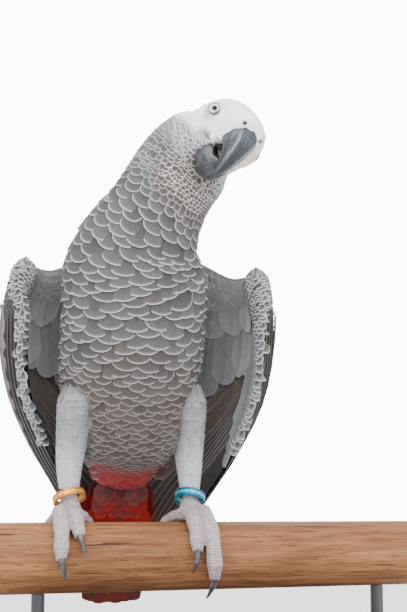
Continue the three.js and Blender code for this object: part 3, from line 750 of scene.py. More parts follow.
def coat_piece(name, parts, colours, finish, slot, *replaced, rims=None):
    """Joins the vanes of several calls into one piece with its colours and its unwrap. Each feather's
    rim is its strength and its width."""
    start, faces, tints, edges = 0, [], [], []
    for (points, part_faces, _, _), colour, rim in zip(parts, colours, rims):
        per = len(points) // len(colour)
        tints.append(np.repeat(np.insert(colour, 3, rng.random(len(colour)), 1), per, 0))
        edges.append(np.repeat(np.insert(np.broadcast_to(rim, (len(colour), 2)), 2, 0, 1), per, 0))
        faces.append(part_faces + start)
        start += len(points)
    points, _, reads, unwrap = (np.concatenate(column) for column in zip(*parts))
    mesh = mesh_of(name, points, np.concatenate(faces))
    stores = {"vane": reads, "tint": np.concatenate(tints), "rim": np.concatenate(edges)}
    for label, values in stores.items():
        paint(mesh, label, values)
    layer = mesh.uv_layers.new(name="OFBake")
    corners = np.empty(len(mesh.loops), np.int32)
    mesh.loops.foreach_get("vertex_index", corners)
    layer.data.foreach_set("uv", unwrap[corners].astype(np.float32).ravel())
    print(name, len(mesh.polygons) * 2, "triangles")
    return piece(name, mesh, finish, slot, *replaced)


# %% [markdown]
# ## The feather finish
# A feather's colour is its tint, streaked along its barbs, darkened towards its root by painted shade
# where the feather above covers it, and lighter towards its outline, with a thin pale rim. The rim is
# a distance from the outline that each vertex carries, so it keeps its width on every feather.


# %% feather_finish
def feather_finish(name, rim_colour=(0.62, 0.62, 0.63), glow=0.3, streak=0.35, shaft=0.1, root=0.5,
                   end=None):
    """Glow is how much paler the feather grows towards the rim, streak and shaft the strength of those
    marks, root the strength of the painted shade at the root, where the feather above covers it, and
    end a colour that the tip turns towards."""
    finish = Finish(name, 0.75, Specular_IOR_Level=0.15)
    edge, across, down = finish.parts(finish.attribute("vane", "Vector"))
    strength, width, _ = finish.parts(finish.attribute("rim", "Vector"))
    tint = finish.attribute("tint", "Color")
    if end:
        tint = finish.blend(down.smooth(0.8, 0.97) * 0.8, tint, end)
    chance = finish.attribute("tint", "Alpha")
    barbs = finish.vector(across * 3.4 + chance * 40.0, down * 7.0 - abs(across) * 4.0, chance * 25.0)
    lines = finish.noise(barbs, 4.5, 3.0, 0.65)
    grain = finish.blend(lines.smooth(0.3, 0.7), (0.05,) * 3, (1.0,) * 3)
    base = finish.blend(streak, tint, grain, "OVERLAY")
    lively = finish.blend(0.4, base, finish.blend(chance, (0.25,) * 3, (0.75,) * 3), "SOFT_LIGHT")
    # Painted shade: the part of each feather that lies under the one above is darkened towards its
    # root.
    dark = finish.blend(0.75, lively, (0.012, 0.011, 0.011))
    ragged = edge / width + (lines - 0.5) * 0.8
    pale = (1 - ragged.smooth(0.7, 1.5)) * down.smooth(0.25, 0.4)
    colour = finish.layers(lively, ((1 - down.smooth(0.45, 0.95)) * root, dark),
                           ((1 - ragged.smooth(0.0, 5.5)) * strength * glow, rim_colour),
                           (pale * strength, rim_colour),
                           ((1 - abs(across).smooth(0.02, 0.08)) * shaft, (0.03,) * 3))
    return finish.complete(colour, lines, 0.3, 0.0005)


# %% [markdown]
# ## The bill's shape
# Both horns are lofts along the head's middle plane. A station says where the cutting edge and the
# outer curve lie and how wide the horn is there. A section is an egg from the edge to the curve, with
# a hollow on the inside, so that the horn has a wall and a crisp edge like the real one.

# %% The horns' shapes
# Each station: forward and up of the cutting edge, then of the outer curve; half width.
BILL_UPPER = [[12, -8.5, 24.3, 4.2, 9.4], [15.2, -12, 28, -0.5, 9.0], [18.6, -15.6, 30, -6.5, 7.9],
              [21.2, -18.9, 30.6, -13.5, 6.4], [22.8, -22.8, 30, -20.5, 4.8],
              [23.6, -27, 28.4, -26.5, 3.1],
              [24.4, -31, 26.4, -31, 1.6], [24.9, -33.3, 25.3, -33.5, 0.4]]
BILL_LOWER = [[-2.2, -16.8, -3.2, -26, 9.9], [3.6, -11.4, 3, -30.5, 9.9], [10, -12.4, 10, -33.2, 9.2],
              [14.2, -16.2, 15.6, -32.4, 8.1], [17.2, -20.4, 19.4, -29, 6.8],
              [20.8, -22, 22, -25, 3.4]]
HORN_WIDEST = 0.13  # how far from the cutting edge a horn is widest, as a share


def horn(stations, hollow, keel, rows=72, outside=44, inside=20):
    """Sections of a horn. Round the outside, an angle runs from one edge over the curve to the other:
    its cosine gives the width and its sine, to the power keel, the depth. Round the inside the depth
    goes back by the hollow's share. Both ends shrink to a point."""
    t = np.linspace(0, 1, rows)[:, None]
    row = along(stations, t + 0 * np.zeros((1, outside + inside)))
    outer = np.linspace(0, np.pi, outside, endpoint=False)
    inner = np.linspace(np.pi, 2 * np.pi, inside, endpoint=False)
    angle = np.concatenate([outer, inner])[None, :]
    sine = np.abs(np.sin(angle))
    over = HORN_WIDEST + (1 - HORN_WIDEST) * sine**keel
    under = HORN_WIDEST + hollow * np.minimum(1, (1 - t) / 0.3) * sine**0.7
    share = np.where(angle < np.pi, over, under)[..., None]
    middle = row[..., 0:2] + (row[..., 2:4] - row[..., 0:2]) * share
    width = row[..., 4] * np.cos(angle) * np.where(angle < np.pi, 1, 0.93)
    points = from_head(middle[..., 0], width, middle[..., 1])
    points[0] = points[0].mean(0)
    points[-1] = points[-1].mean(0)
    reads = np.stack(np.broadcast_arrays(t, np.cos(angle), np.where(angle < np.pi, sine, -sine)), -1)
    return points, reads


horns = {"bill_upper": horn(BILL_UPPER, 0.42, 0.86), "bill_lower": horn(BILL_LOWER, 0.60, 0.62)}

# %% The body's coat
BILL_CLEAR, EYE_CLEAR, NOSTRIL_CLEAR = 0.9, 9.2, 2.3  # how far from each of these feathers start
MOUTH_LINE = ([6, 12, 17, 25], [-10.5, -12.4, -16.2, -22])  # forward, and the mouth's height there
NOSTRILS = [from_head(25.1, 7.4 * side, 2.0) for side in SIDES.values()]
body_roots = staggered(body_sheet, coat_size, 0.05, 0.985)
roots_at = body_sheet.at(body_roots[:, 0], body_roots[:, 1])
clear = np.ones(len(roots_at), bool)
for points, _ in horns.values():
    clear &= nearest(roots_at, grid_tree(points, True))[1] > BILL_CLEAR
for middle in eye_middles.values():
    clear &= norm(roots_at - middle) > EYE_CLEAR
for place in NOSTRILS:
    clear &= norm(roots_at - place) > NOSTRIL_CLEAR
forward, left, up = in_head(roots_at)
clear &= (forward < 1.0) | (np.abs(up - np.interp(forward, *MOUTH_LINE)) > 3.2)
body_roots, roots_at = body_roots[clear], roots_at[clear]
shown, wide = body_roots[:, 2:].T
small = coat_size(roots_at)[0] < 1.75
luck = rng.random(len(body_roots))
grey_finish = feather_finish("grey_feather")
face_finish = feather_finish("face_feather", (0.88, 0.88, 0.9), streak=0.15, shaft=0.0, root=0.1)


def body_vanes(chosen, rows, columns):
    """The chosen feathers of the body, a little uneven in size, turn and roll."""
    show, width, count = shown[chosen], wide[chosen], chosen.sum()
    return vanes(body_sheet, body_roots[chosen], show * 3.6 * rng.normal(1, 0.05, count),
                 width * 1.3 * rng.normal(1, 0.06, count), show * 0.2 + 0.3,
                 0.1 + show * 0.05 * rng.normal(1, 0.25, count), rng.normal(0, 0.07, count),
                 rows, columns, rng.normal(0, 0.025, count), 0.95, 0.1)


for name, chosen, rows, columns, look, slot in (
        ("body_coat", ~small, 7, 11, grey_finish, "grey_feathers"),
        ("face_coat", small, 4, 5, face_finish, "white_feathers")):
    coat_piece(name, [body_vanes(chosen, rows, columns)],
               [coat_colour(roots_at[chosen], luck[chosen])],
               look, slot, rims=[coat_rim(roots_at[chosen], shown[chosen])])

# %% [markdown]
# ## Wings
# Each wing is a bent blade between its leading edge and its inner edge. One sheet wraps round both
# of its faces, for the small feathers, and one lies in its middle, for the long ones.

# %% Wing sheets
LEADING_EDGE = [[69, -28, 149], [76.5, -26, 130], [79.5, -19, 102], [76, -7, 72], [66, 12, 45],
                [57, 33, 26], [44, 55, 6], [31, 72, -15], [19, 86, -37]]
INNER_EDGE = [[37, -4, 149], [34, 22, 133], [29, 36, 110], [25, 45, 88], [17, 52, 64],
              [9, 59, 40], [6, 67, 15], [8, 77, -10], [12.5, 87, -36]]
WING_OUT = unit(np.array([0.72, 0.69, 0.05]))
TORSO_TURN, TORSO_LEAN, TORSO_SHIFT = math.radians(-12), math.radians(2.5), -1
EDGE_ROLL = {1: (-3.5, -1.5, 0), -1: (-12, -5, 0)}  # how far each leading edge rolls in
WRIST_RISE, SHOULDER_RISE, SHOULDER_TUCK = 5.5, 10.5, 11
WING_TOP = 0.14  # how far down the wrist and the shoulder are felt
WING_ROWS, WING_COLUMNS, EDGE_COLUMNS = 140, 60, 150
WING_TOP_ROWS = 8  # rows of the middle sheet that the skin stays below


def wing_middle(down, across, side):
    """The wing's middle surface: the straight line between the two edges, bowed away from the body
    by a half sine. A bell over across rolls the leading edge in towards the breast, and another,
    wider one lets the blade swell out beside it. A third raises the wrist, and the top edge climbs
    from a dip beside it to the shoulder, whose inner end is tucked in towards the body."""
    top = np.maximum(0, 1 - down / WING_TOP)
    flat = mix(along(LEADING_EDGE, down), along(INNER_EDGE, down), across[..., None])
    bowed = np.sin(np.pi * across) * mix(13, 2, down)
    wrist = WRIST_RISE * np.exp(-(((across - 0.12) / 0.26) ** 2))
    shoulder = SHOULDER_RISE * ease(0.62, 0.95, across) - 5 * ease(0.88, 1, across)
    tucked = SHOULDER_TUCK * ease(0.55, 1, across) * ease(0.45, 0.05, down)
    roll = np.exp(-((across / 0.11) ** 2)) - 0.38 * np.exp(-(((across - 0.2) / 0.12) ** 2))
    roll = roll * ease(0.05, 0.2, down) * ease(0.97, 0.7, down)
    raised = (wrist + shoulder) * top**2
    moves = ((WING_OUT, bowed), ([0, 0, 1], raised), ([-1, 0, 0], tucked), (EDGE_ROLL[side], roll))
    for way, far in moves:
        flat = flat + np.array(way) * far[..., None]
    return flat


def wing_half_thickness(down, across):
    """Half the blade's thickness: a bulge along the arm inside the leading edge, and the shoulder."""
    arm = 6.2 * np.maximum(0, 1 - down / 0.62) ** 0.8
    bulge = np.exp(-(((across - 0.1) / 0.3) ** 2))
    shoulder = 5 * np.exp(-((down / 0.16) ** 2)) * across
    edge = np.sqrt(np.minimum(1, across / 0.12))
    steep, slow = np.sqrt(np.minimum(1, down / 0.05)), np.minimum(1, down / 0.12) ** 0.75
    crest = mix(steep, slow, ease(0.15, 0.4, across))
    return (0.8 + arm * bulge + shoulder) * crest * edge


def place_wing(points, side):
    """The left wing's points leaned and turned with the torso, or mirrored first for the right."""
    p = points * [side, 1, 1]
    c, s = math.cos(TORSO_LEAN), math.sin(TORSO_LEAN)
    p = np.stack([p[..., 0] * c + p[..., 2] * s, p[..., 1], p[..., 2] * c - p[..., 0] * s], -1)
    c, s = math.cos(TORSO_TURN), math.sin(TORSO_TURN)
    p = np.stack([p[..., 0] * c - p[..., 1] * s, p[..., 0] * s + p[..., 1] * c, p[..., 2]], -1)
    return p + [TORSO_SHIFT, 0, 0]


def even_rows(grid, count):
    """Each row's line again, as so many points at even steps of its length."""
    steps = norm(np.diff(grid, axis=1))
    length = np.insert(np.cumsum(steps, axis=1), 0, 0, 1)
    share = np.linspace(0, 1, count)
    return np.array([[np.interp(share * far[-1], far, row[:, k]) for k in range(3)]
                     for far, row in zip(length, grid)]).transpose(0, 2, 1)


def wing_sheets(side):
    """The middle sheet, and the closed one round both faces: u from 0 to 0.5 runs over the outer face
    from the leading edge to the inner edge, and from 0.5 to 1 back over the inner face. It is worked
    out densest at the round leading edge, and then each row is laid out again in even steps."""
    down, across = even_grid(WING_ROWS, WING_COLUMNS)
    middle = wing_middle(down, across, side)
    flat = Sheet(middle, False)
    down, across = even_grid(WING_ROWS, EDGE_COLUMNS)
    across = across**2
    closed = wing_middle(down, across, side)
    normal = flat.slopes(across, down)[2]
    normal = normal * np.sign(dot(normal, WING_OUT))[..., None]
    thick = wing_half_thickness(down, across)[..., None]
    outer, inner = (even_rows(closed + normal * thick * face, WING_COLUMNS) for face in (1, -1))
    closed = np.concatenate([outer, inner[:, ::-1]], 1)
    flat = Sheet(place_wing(middle, side), False)
    closed = Sheet(place_wing(closed, side), True, 1, 0.06)
    away = place_wing(WING_OUT, side) - place_wing(WING_OUT * 0, side)
    flat.face(away, 0.5)
    closed.face(away, 0.25)
    return flat, closed


def outer_u(across):
    """Where u is, so far across the outer face."""
    return 0.5 * across


def inner_u(across):
    """Where u is, so far across the inner face."""
    return 1 - 0.5 * across


# %% [markdown]
# ## The skin
# Under the coat lies one skin. It is made from the solids of flesh: voxel remeshing joins them, each
# point then moves towards its neighbours' mean, and last it sinks by the depth of the coat there.
# The head and the feet, whose skin shows, are remeshed finer than the rest.

# %% Skin tools
BODY_DEPTH, HEAD_DEPTH, FACE_DEPTH = 3.2, 1.0, 0.35  # how deep the skin lies, in millimetres


def remeshed(voxel, *names):
    """The named solids as one closed mesh with even faces: points in millimetres, and quads."""
    points, triangles = merged_nodes(*names)
    mesh = bpy.data.meshes.new("work")
    mesh.from_pydata((points * MM).tolist(), [], triangles.tolist())
    made = put("work", mesh)
    remesh = made.modifiers.new("remesh", "REMESH")
    remesh.mode = "VOXEL"
    remesh.voxel_size = voxel * MM
    shape = made.evaluated_get(bpy.context.evaluated_depsgraph_get()).to_mesh()
    co = np.empty(len(shape.vertices) * 3, np.float32)
    shape.vertices.foreach_get("co", co)
    quads = np.empty(len(shape.polygons) * 4, np.int32)
    shape.polygons.foreach_get("vertices", quads)
    bpy.data.objects.remove(made)
    return co.reshape(-1, 3).astype(float) / MM, quads.reshape(-1, 4)


def at_corners(values, quads, count):
    """The sum of the faces' vectors at each of their corners."""
    return np.stack([np.bincount(quads.ravel(), np.repeat(value, 4), count) for value in values.T], -1)


def relax(points, quads, times, share=0.5):
    """Each point moved part of the way to the mean of the corners of the faces round it."""
    total = np.bincount(quads.ravel(), minlength=len(points))[:, None]
    for _ in range(times):
        points = mix(points, at_corners(points[quads].mean(1), quads, len(points)) / total, share)
    return points


def point_normals(points, quads):
    """The mean of the face normals round each point, from the cross product of the diagonals."""
    corners = points[quads]
    face = np.cross(corners[:, 2] - corners[:, 0], corners[:, 3] - corners[:, 1])
    return unit(at_corners(face, quads, len(points)))


def drawn_to_wings(points):
    """The body's skin, with what runs out over a wing drawn in to the wing's middle sheet, because
    the feathers make nearly all of a wing's thickness. Also how far each point has left the trunk."""
    trunk = tree_of(*merged_nodes("trunk", "neck", "leg_left", "leg_right"))
    share = ease(1.0, 5.0, nearest(points, trunk)[1])
    near = []
    for side in SIDES.values():
        near.append(nearest(points, grid_tree(wing_sheets(side)[0].grid[WING_TOP_ROWS:])))
    first = (near[0][1] < near[1][1])[:, None]
    return mix(points, np.where(first, near[0][0], near[1][0]), 0.9 * share[:, None]), share


def coat_depth(p):
    """How far the skin lies under the solids: as deep as the feathers, and nothing on bare skin."""
    face, head, *_ = regions(p)
    return mix(mix(BODY_DEPTH, HEAD_DEPTH, head), FACE_DEPTH, face)


# %% [markdown]
# ## Eyes and lids
# A parrot's eye is a ball of which a round opening shows, framed by a thick lid and folds of bare
# skin. The ball is a sphere whose cornea bulges a little. The lid is a sheet of rings: close to the
# opening it hugs the ball, and further out it meets the head, with fine folds between.

# %% Eye shapes
EYE_RADIUS = 5.5
EYE_TILT, EYE_DROP = math.radians(44), math.radians(2)  # how far forward and down the eyes look
EYE_SINK = {"left": 1.5, "right": 0.2}  # how far in they sit
BALL_GRID = (48, 64)
GAZE = 0.55  # how far ahead of the opening's middle the pupil is
SQUEEZE = 0.2  # how much narrower than long the opening is, aslant
OPENING = 3.75  # the lids' opening, as a radius
LID_REACH = 9.2  # how far the bare skin goes round it
LID_RADII = [3.70, 3.76, 3.9, 4.1, 4.35, 4.6, 5.0]  # the lid's edge, and how thick it is there
LID_THICK = [-0.4, 0.1, 0.36, 0.42, 0.34, 0.2, 0.2]
FLESH_BODY = ["trunk", "neck", "leg_left", "leg_right", "wing_left_arm", "wing_right_arm"]
TOES = [f"toe_{side}_{which}" for side in SIDES
        for which in ("inner_front", "outer_front", "inner_back", "outer_back")]
FLESH_FEET = ["foot_left", "foot_right", *TOES]
head_tree = tree_of(*merged_nodes("head"))
eye_centres = {side: eye_middles[side] - HEAD_LEFT * (EYE_SINK[side] * SIDES[side])
               for side in SIDES}


def eye_ways(side):
    """The way an eye looks, and two ways across it: forward and up."""
    outward = HEAD_LEFT * SIDES[side]
    level = outward * math.cos(EYE_TILT) + HEAD_FORWARD * math.sin(EYE_TILT)
    look = unit(level * math.cos(EYE_DROP) - HEAD_UP * math.sin(EYE_DROP))
    ahead = unit(HEAD_FORWARD - look * (HEAD_FORWARD @ look))
    above = np.cross(look, ahead)
    return look, ahead, above * np.sign(above @ HEAD_UP)


def round_eye(side, radius, angle, height):
    """Points a radius away from the eye's axis, at an angle from forwards to up, and so high."""
    look, ahead, above = eye_ways(side)
    radius, angle, height = np.broadcast_arrays(radius, angle, height)
    across = np.cos(angle)[..., None] * ahead + np.sin(angle)[..., None] * above
    return eye_centres[side] + radius[..., None] * across + height[..., None] * look


def lid_sheet(side):
    """Heights over the eye's middle for rings of the lid, and their points. Near the opening the
    height is the ball's plus the lid's thickness; further out it leads into the head's surface, read
    by rays at two radii and carried on straight; folds are a cosine of the radius, deepest below."""
    angles = np.linspace(0, 2 * np.pi, 96, endpoint=False)
    look = eye_ways(side)[0]
    seen = []
    for radius in (7.6, LID_REACH):
        starts = round_eye(side, radius, angles, 25.0)
        hits = [head_tree.ray_cast(Vector(p), Vector(-look), 40.0)[3] for p in starts]
        seen.append(25.0 - np.array(hits))
    for _ in range(12):
        seen = [(np.roll(h, 1) + 2 * h + np.roll(h, -1)) / 4 for h in seen]
    radii = np.concatenate([LID_RADII[:-1], np.linspace(4.8, LID_REACH, 40)])[:, None]
    thick = np.interp(radii, LID_RADII, LID_THICK)
    reach = radii * (1 - SQUEEZE * np.cos(angles - np.pi / 4)[None, :] ** 2 * ease(6.8, 4.2, radii))
    ball = np.sqrt(EYE_RADIUS**2 - np.minimum(reach, 5.0) ** 2) + thick
    head = seen[0] + (radii - 7.6) * (seen[1] - seen[0]) / (LID_REACH - 7.6)
    height = mix(ball, head - 0.1, ease(4.3, 7.4, radii))
    below = 0.45 + 0.55 * np.maximum(0, -np.sin(angles))[None, :]
    wave = radii + 0.25 * np.sin(3 * angles + 1.0)[None, :] + 0.15 * np.sin(7 * angles)[None, :]
    fold = np.cos(2 * np.pi * (wave - 4.9) / 0.9) * ease(4.5, 5.0, radii) * ease(8.4, 6.8, radii)
    height = height + 0.22 * fold * below - 0.5 * ease(8.0, LID_REACH, radii)
    return radii[:, 0], angles, height, fold * below, reach


lids = {side: lid_sheet(side) for side in SIDES}


def sunk_round_eyes(points):
    """Skin near an eye pushed in until it lies under the lid, and behind the ball in the opening."""
    points = points.copy()
    for side in SIDES:
        look, ahead, above = eye_ways(side)
        radii, angles, height, _, _ = lids[side]
        away = points - eye_centres[side]
        h = away @ look
        radius = np.sqrt(np.maximum(0, dot(away, away) - h * h))
        angle = np.arctan2(away @ above, away @ ahead) % (2 * np.pi)
        i = np.clip(np.searchsorted(radii, radius), 0, len(radii) - 1)
        j = (angle / (2 * np.pi) * len(angles)).astype(int) % len(angles)
        ceiling = np.where(radius < OPENING, np.sqrt(np.maximum(1, EYE_RADIUS**2 - radius**2)) - 1.0,
                           height[i, j] - 0.35)
        near = (radius < LID_REACH - 0.9) & (h > 0)
        points += look * np.where(near, np.minimum(0, ceiling - h), 0)[:, None]
    return points


# %% Eye pieces
LID_SKIN, LID_EDGE = tone(228, 226, 232), tone(40, 36, 38)


def eye_finish():
    """A black pupil and a cream iris with fine rays, under a clear coat."""
    finish = Finish("eye", 0.2, Specular_IOR_Level=0.08, Coat_Weight=0.12, Coat_Roughness=0.03)
    radius, angle, outer = finish.parts(finish.attribute("eye", "Vector"))
    rays = finish.noise(finish.vector(angle * 9.0, radius * 0.6, 0.0), 1.6, 3.0, 0.7)
    corner = angle.smooth(-1.2, -0.8) * (1 - angle.smooth(-0.2, 0.2)) * outer.smooth(2.3, 3.0)
    return finish.complete(finish.layers(
        (0.56, 0.54, 0.46), (rays.smooth(0.3, 0.7), (0.92, 0.91, 0.84)),
        ((1 - radius.smooth(1.5, 2.1)) * 0.8, (0.34, 0.32, 0.28)),
        (outer.smooth(2.85, 3.3) * 0.92, (0.05, 0.045, 0.045)),
        (corner * 0.85, (0.26, 0.09, 0.06)),
        (1 - radius.smooth(1.38, 1.56), (0.004, 0.004, 0.005))))


eye_look = eye_finish()
for side in SIDES:
    tilt = np.linspace(0, np.pi, BALL_GRID[0])[:, None]
    turn = np.linspace(-np.pi, np.pi, BALL_GRID[1], endpoint=False)[None, :]
    radius = EYE_RADIUS * (1 + 0.02 * np.exp(-((tilt / 0.5) ** 2)))
    ball = round_eye(side, radius * np.sin(tilt), turn, radius * np.cos(tilt))
    faces = grid_faces(*BALL_GRID, True)[:, ::SIDES[side]]
    eye_mesh = mesh_of(f"eye_ball_{side}", ball.reshape(-1, 3), faces)
    ahead, above = radius * np.sin(tilt) * np.cos(turn) - GAZE, radius * np.sin(tilt) * np.sin(turn)
    reads = [np.hypot(ahead, above), np.arctan2(above, ahead), np.hypot(ahead + GAZE, above)]
    paint(eye_mesh, "eye", np.stack(reads, -1).reshape(-1, 3))
    piece(f"eye_ball_{side}", eye_mesh, eye_look, "eye", f"eye_{side}")


# %% The skin's own finish
def skin_finish():
    """The coat's colours, finely wrinkled, and scaly on the feet."""
    finish = Finish("skin", 0.55, Specular_IOR_Level=0.35)
    place = finish.place()
    tint = finish.attribute("tint", "Color")
    scaly = finish.attribute("tint", "Alpha")
    scales = finish.node("ShaderNodeTexVoronoi", {}, {"Vector": place, "Scale": 950.0}, "Distance")
    pores = finish.noise(place, 900.0, 3.0, 0.6)
    blotch = finish.noise(place, 160.0, 3.0, 0.6)
    folds = finish.noise(finish.stretched(place, 1.0, 1.0, 3.0), 350.0, 3.0, 0.6)
    groove = 1 - finish.attribute("scute").maths("PINGPONG", 0.5).smooth(0.02, 0.16)
    colour = finish.layers(
        tint, (blotch.smooth(0.35, 0.7) * 0.35, finish.blend(0.5, tint, (0.75, 0.70, 0.68))),
        (groove * scaly * 0.5, (0.16, 0.13, 0.13)),
        (scales.smooth(0.45, 0.75) * scaly * 0.4, (0.16, 0.13, 0.13)),
        (pores.smooth(0.57, 0.66) * scaly * 0.6, (0.06, 0.05, 0.055)))
    height = folds * 0.4 - scales * scaly * 1.2 - groove * scaly * 0.8
    return finish.complete(colour, height, 0.55, 0.0006)


FOOT = tone(178, 166, 168)
# Inside the mouth: a near-black that is painted shade, and the pink of the gape near its corner.
MOUTH_SHADE, MOUTH_PINK = tone(20, 17, 17), tone(120, 88, 80)
SCUTE = 1.55  # the scales' length along a toe
perch_middle = from_frame((np.array(perch_low) + np.array(perch_high)) / 2)


def head_skin(points, quads):
    """The head's skin: full behind the mouth's corner, where the notch of the solid ends, sunk
    round the eyes, pierced by the nostrils, with painted shade in the nostrils' holes and deep inside
    the mouth, which is pink near its corner."""
    forward, left, up = in_head(points)
    corner = (ease(7.5, 4.0, forward) * ease(-14, -8, forward) * ease(7, 3.5, np.abs(up + 12))
              * ease(6, 9, np.abs(left)))
    points = mix(points, nearest(points, grid_tree(body_sheet.grid, True))[0], corner[:, None])
    normals = point_normals(points, quads)
    points = points - normals * coat_depth(points)[:, None]
    points = sunk_round_eyes(points)
    colour = coat_colour(points)
    forward, left, up = in_head(points)
    # Painted shade: the skin deep inside the mouth goes nearly black, and the gape near the corner is
    # pink.
    inside = (ease(3.6, 2.2, np.abs(up - np.interp(forward, *MOUTH_LINE)))
              * ease(11, 9.5, np.abs(left)) * ease(4, 6, forward))[:, None]
    colour = mix(colour, mix(MOUTH_PINK, MOUTH_SHADE, ease(8, 10.5, forward)[:, None]), inside)
    start, edge, _, _, half = np.array(BILL_LOWER).T
    over = np.maximum(0, np.abs(left) - np.interp(forward, start, half - 1.0))
    over = over * ease(-4.0, 1.0, forward) * ease(-2.0, 2.6, np.interp(forward, start, edge) - up)
    points = points - HEAD_LEFT * (np.sign(left) * over)[:, None]
    for place in NOSTRILS:
        d = norm(points - np.array(head_tree.find_nearest(Vector(place))[0]))
        rise = 0.28 * np.exp(-(((d - 2.0) / 0.55) ** 2)) - 2.0 * np.exp(-((d / 1.05) ** 2))
        points = points + normals * rise[:, None]
        # A pale rim round each nostril, and painted shade darkening its hole.
        colour = mix(colour, tone(196, 170, 172), ease(2.2, 1.5, d)[:, None] * 0.8)
        colour = mix(colour, tone(44, 24, 28), ease(1.45, 1.0, d)[:, None])
    return points, colour


def foot_skin(points, quads):
    """The feet's skin: scutes across each toe, counted by the angle round the perch."""
    normals = point_normals(points, quads)
    arm = points[:, 1:] - perch_middle[1:]
    reach = norm(arm)
    along_toe = np.arctan2(arm[:, 0], arm[:, 1]) * (perch_high.z - perch_low.z) / MM * 0.62 / SCUTE
    shank = ease(8, 12, points[:, 2])
    scute = mix(along_toe, points[:, 2] / SCUTE, shank)
    groove = np.exp(-((((scute + 0.5) % 1 - 0.5) / 0.13) ** 2))
    outside = ease(0.0, 0.4, dot(normals[:, 1:], arm / reach[:, None]))
    points = points - normals * (0.22 * groove * np.maximum(outside, shank))[:, None]
    colour = np.tile(FOOT, (len(points), 1))
    return points, colour, scute


def lid_shell(side):
    """The lid and the bare skin round it, as points, quads and colours, with painted shade in its
    folds.
    """
    radii, angles, height, fold, reach = lids[side]
    points = round_eye(side, reach, angles[None, :], height).reshape(-1, 3)
    faces = grid_faces(len(radii), len(angles), True)
    # Painted shade: the skin darkens in the troughs of its folds.
    colour = mix(LID_SKIN, LID_SKIN * 0.35, np.maximum(0, -fold)[..., None])
    colour = mix(colour, LID_EDGE, (ease(4.5, 4.1, radii)[:, None, None] + 0 * fold[..., None]))
    blend = ease(7.4, 8.4, radii)[:, None, None]
    colour = mix(colour, WHITE, blend + 0 * fold[..., None])
    return points, faces if side == "left" else faces[:, ::-1], colour.reshape(-1, 3)


SHELLS = ((FLESH_BODY, 2.4, 4), (["head"], 0.7, 9), (FLESH_FEET, 0.56, 4))  # voxel size, relaxings
skin_shells = []
for names, voxel, times in SHELLS:
    points, quads = remeshed(voxel, *names)
    points = relax(points, quads, times)
    scute = np.zeros(len(points))
    if names == ["head"]:
        points, colour = head_skin(points, quads)
    elif names is FLESH_FEET:
        points, colour, scute = foot_skin(points, quads)
    else:
        points, winged = drawn_to_wings(points)
        points = points - point_normals(points, quads) * (coat_depth(points) * (1 - winged))[:, None]
        colour = mix(coat_colour(points), GREY * 0.7, winged[:, None])
    skin_shells.append((points, quads, colour, scute, float(names is FLESH_FEET)))
for side in SIDES:
    points, quads, colour = lid_shell(side)
    skin_shells.append((points, quads, colour, np.zeros(len(points)), 0.0))
offsets = np.cumsum([0] + [len(shell[0]) for shell in skin_shells])
points, quads, colours, scutes, scaly = zip(*skin_shells)
faces = np.concatenate([q + n for q, n in zip(quads, offsets)])
tints = np.concatenate([np.insert(c, 3, share, 1) for c, share in zip(colours, scaly)])
skin_mesh = mesh_of("skin", np.concatenate(points), faces)
paint(skin_mesh, "tint", tints)
paint(skin_mesh, "scute", np.concatenate(scutes))
piece("skin", skin_mesh, skin_finish(), "foot_skin", "head", *FLESH_BODY, *FLESH_FEET)
print("skin", len(skin_mesh.polygons) * 2, "triangles")

# %% [markdown]
# ## The bill's finish
# The horns read how far along, across and over them each point lies.

# %% Horn finish and pieces
def horn_finish(name, base, pale, tip, tip_start, ridge_share):
    """Slate horn: growth lines across it, streaks along it, painted shade along the ridge and both
    sides near the edges with a painted highlight streak between them on each side, pale worn edges and
    a brown tip."""
    finish = Finish(name, 0.4, Specular_IOR_Level=0.25, Coat_Weight=0.08, Coat_Roughness=0.25)
    down, across, over = finish.parts(finish.attribute("horn", "Vector"))
    place = finish.place()
    cloud = finish.noise(place, 120.0, 3.0, 0.55)
    streaks = finish.noise(finish.vector(down * 1.2, across * 14.0, over * 3.0), 2.2, 3.0, 0.6)
    growth = finish.noise(finish.vector(down * 26.0, across * 1.2, over * 1.2), 1.4, 3.0, 0.6)
    side = abs(across) + (cloud - 0.5) * 0.3
    # Painted highlight: a pale streak on each side, between the ridge and the edge.
    streak = side.smooth(0.5, 0.6) * (1 - side.smooth(0.62, 0.78)) * down.smooth(0.1, 0.25)
    # Painted shade: dark along the ridge and along both sides near the edges.
    ridge_shade = ((1 - side.smooth(0.2, 0.6)) * down.smooth(0.15, 0.6)
             + abs(across).smooth(0.74, 0.94) * down.smooth(0.1, 0.4)).limit()
    rim = (1 - abs(over).smooth(0.05, 0.24)) * (0.45 + growth * 0.6)
    brown = (down + (streaks - 0.5) * 0.05).smooth(tip_start, tip_start + 0.05)
    colour = finish.layers(
        base, (streaks.smooth(0.38, 0.7) * 0.6, pale),
        (cloud.smooth(0.42, 0.62) * 0.5, tuple(0.5 * c for c in base)),
        (growth.smooth(0.5, 0.7) * 0.3, pale),
        (streak * (1 - down.smooth(0.45, 0.7)) * ridge_share * 0.8, tuple(1.5 * c for c in pale)),
        (ridge_shade * ridge_share, (0.010, 0.009, 0.009)),
        (rim.limit() * (0.75 - 0.7 * ridge_share), pale),
        ((1 - (down + (cloud - 0.5) * 0.12).smooth(0.02, 0.05)) * ridge_share, shade(226, 224, 228)),
        (brown * 0.7, tip))
    return finish.complete(colour, growth * 0.7 + streaks * 0.5, 0.35, 0.0005, 0.28 + growth * 0.3)


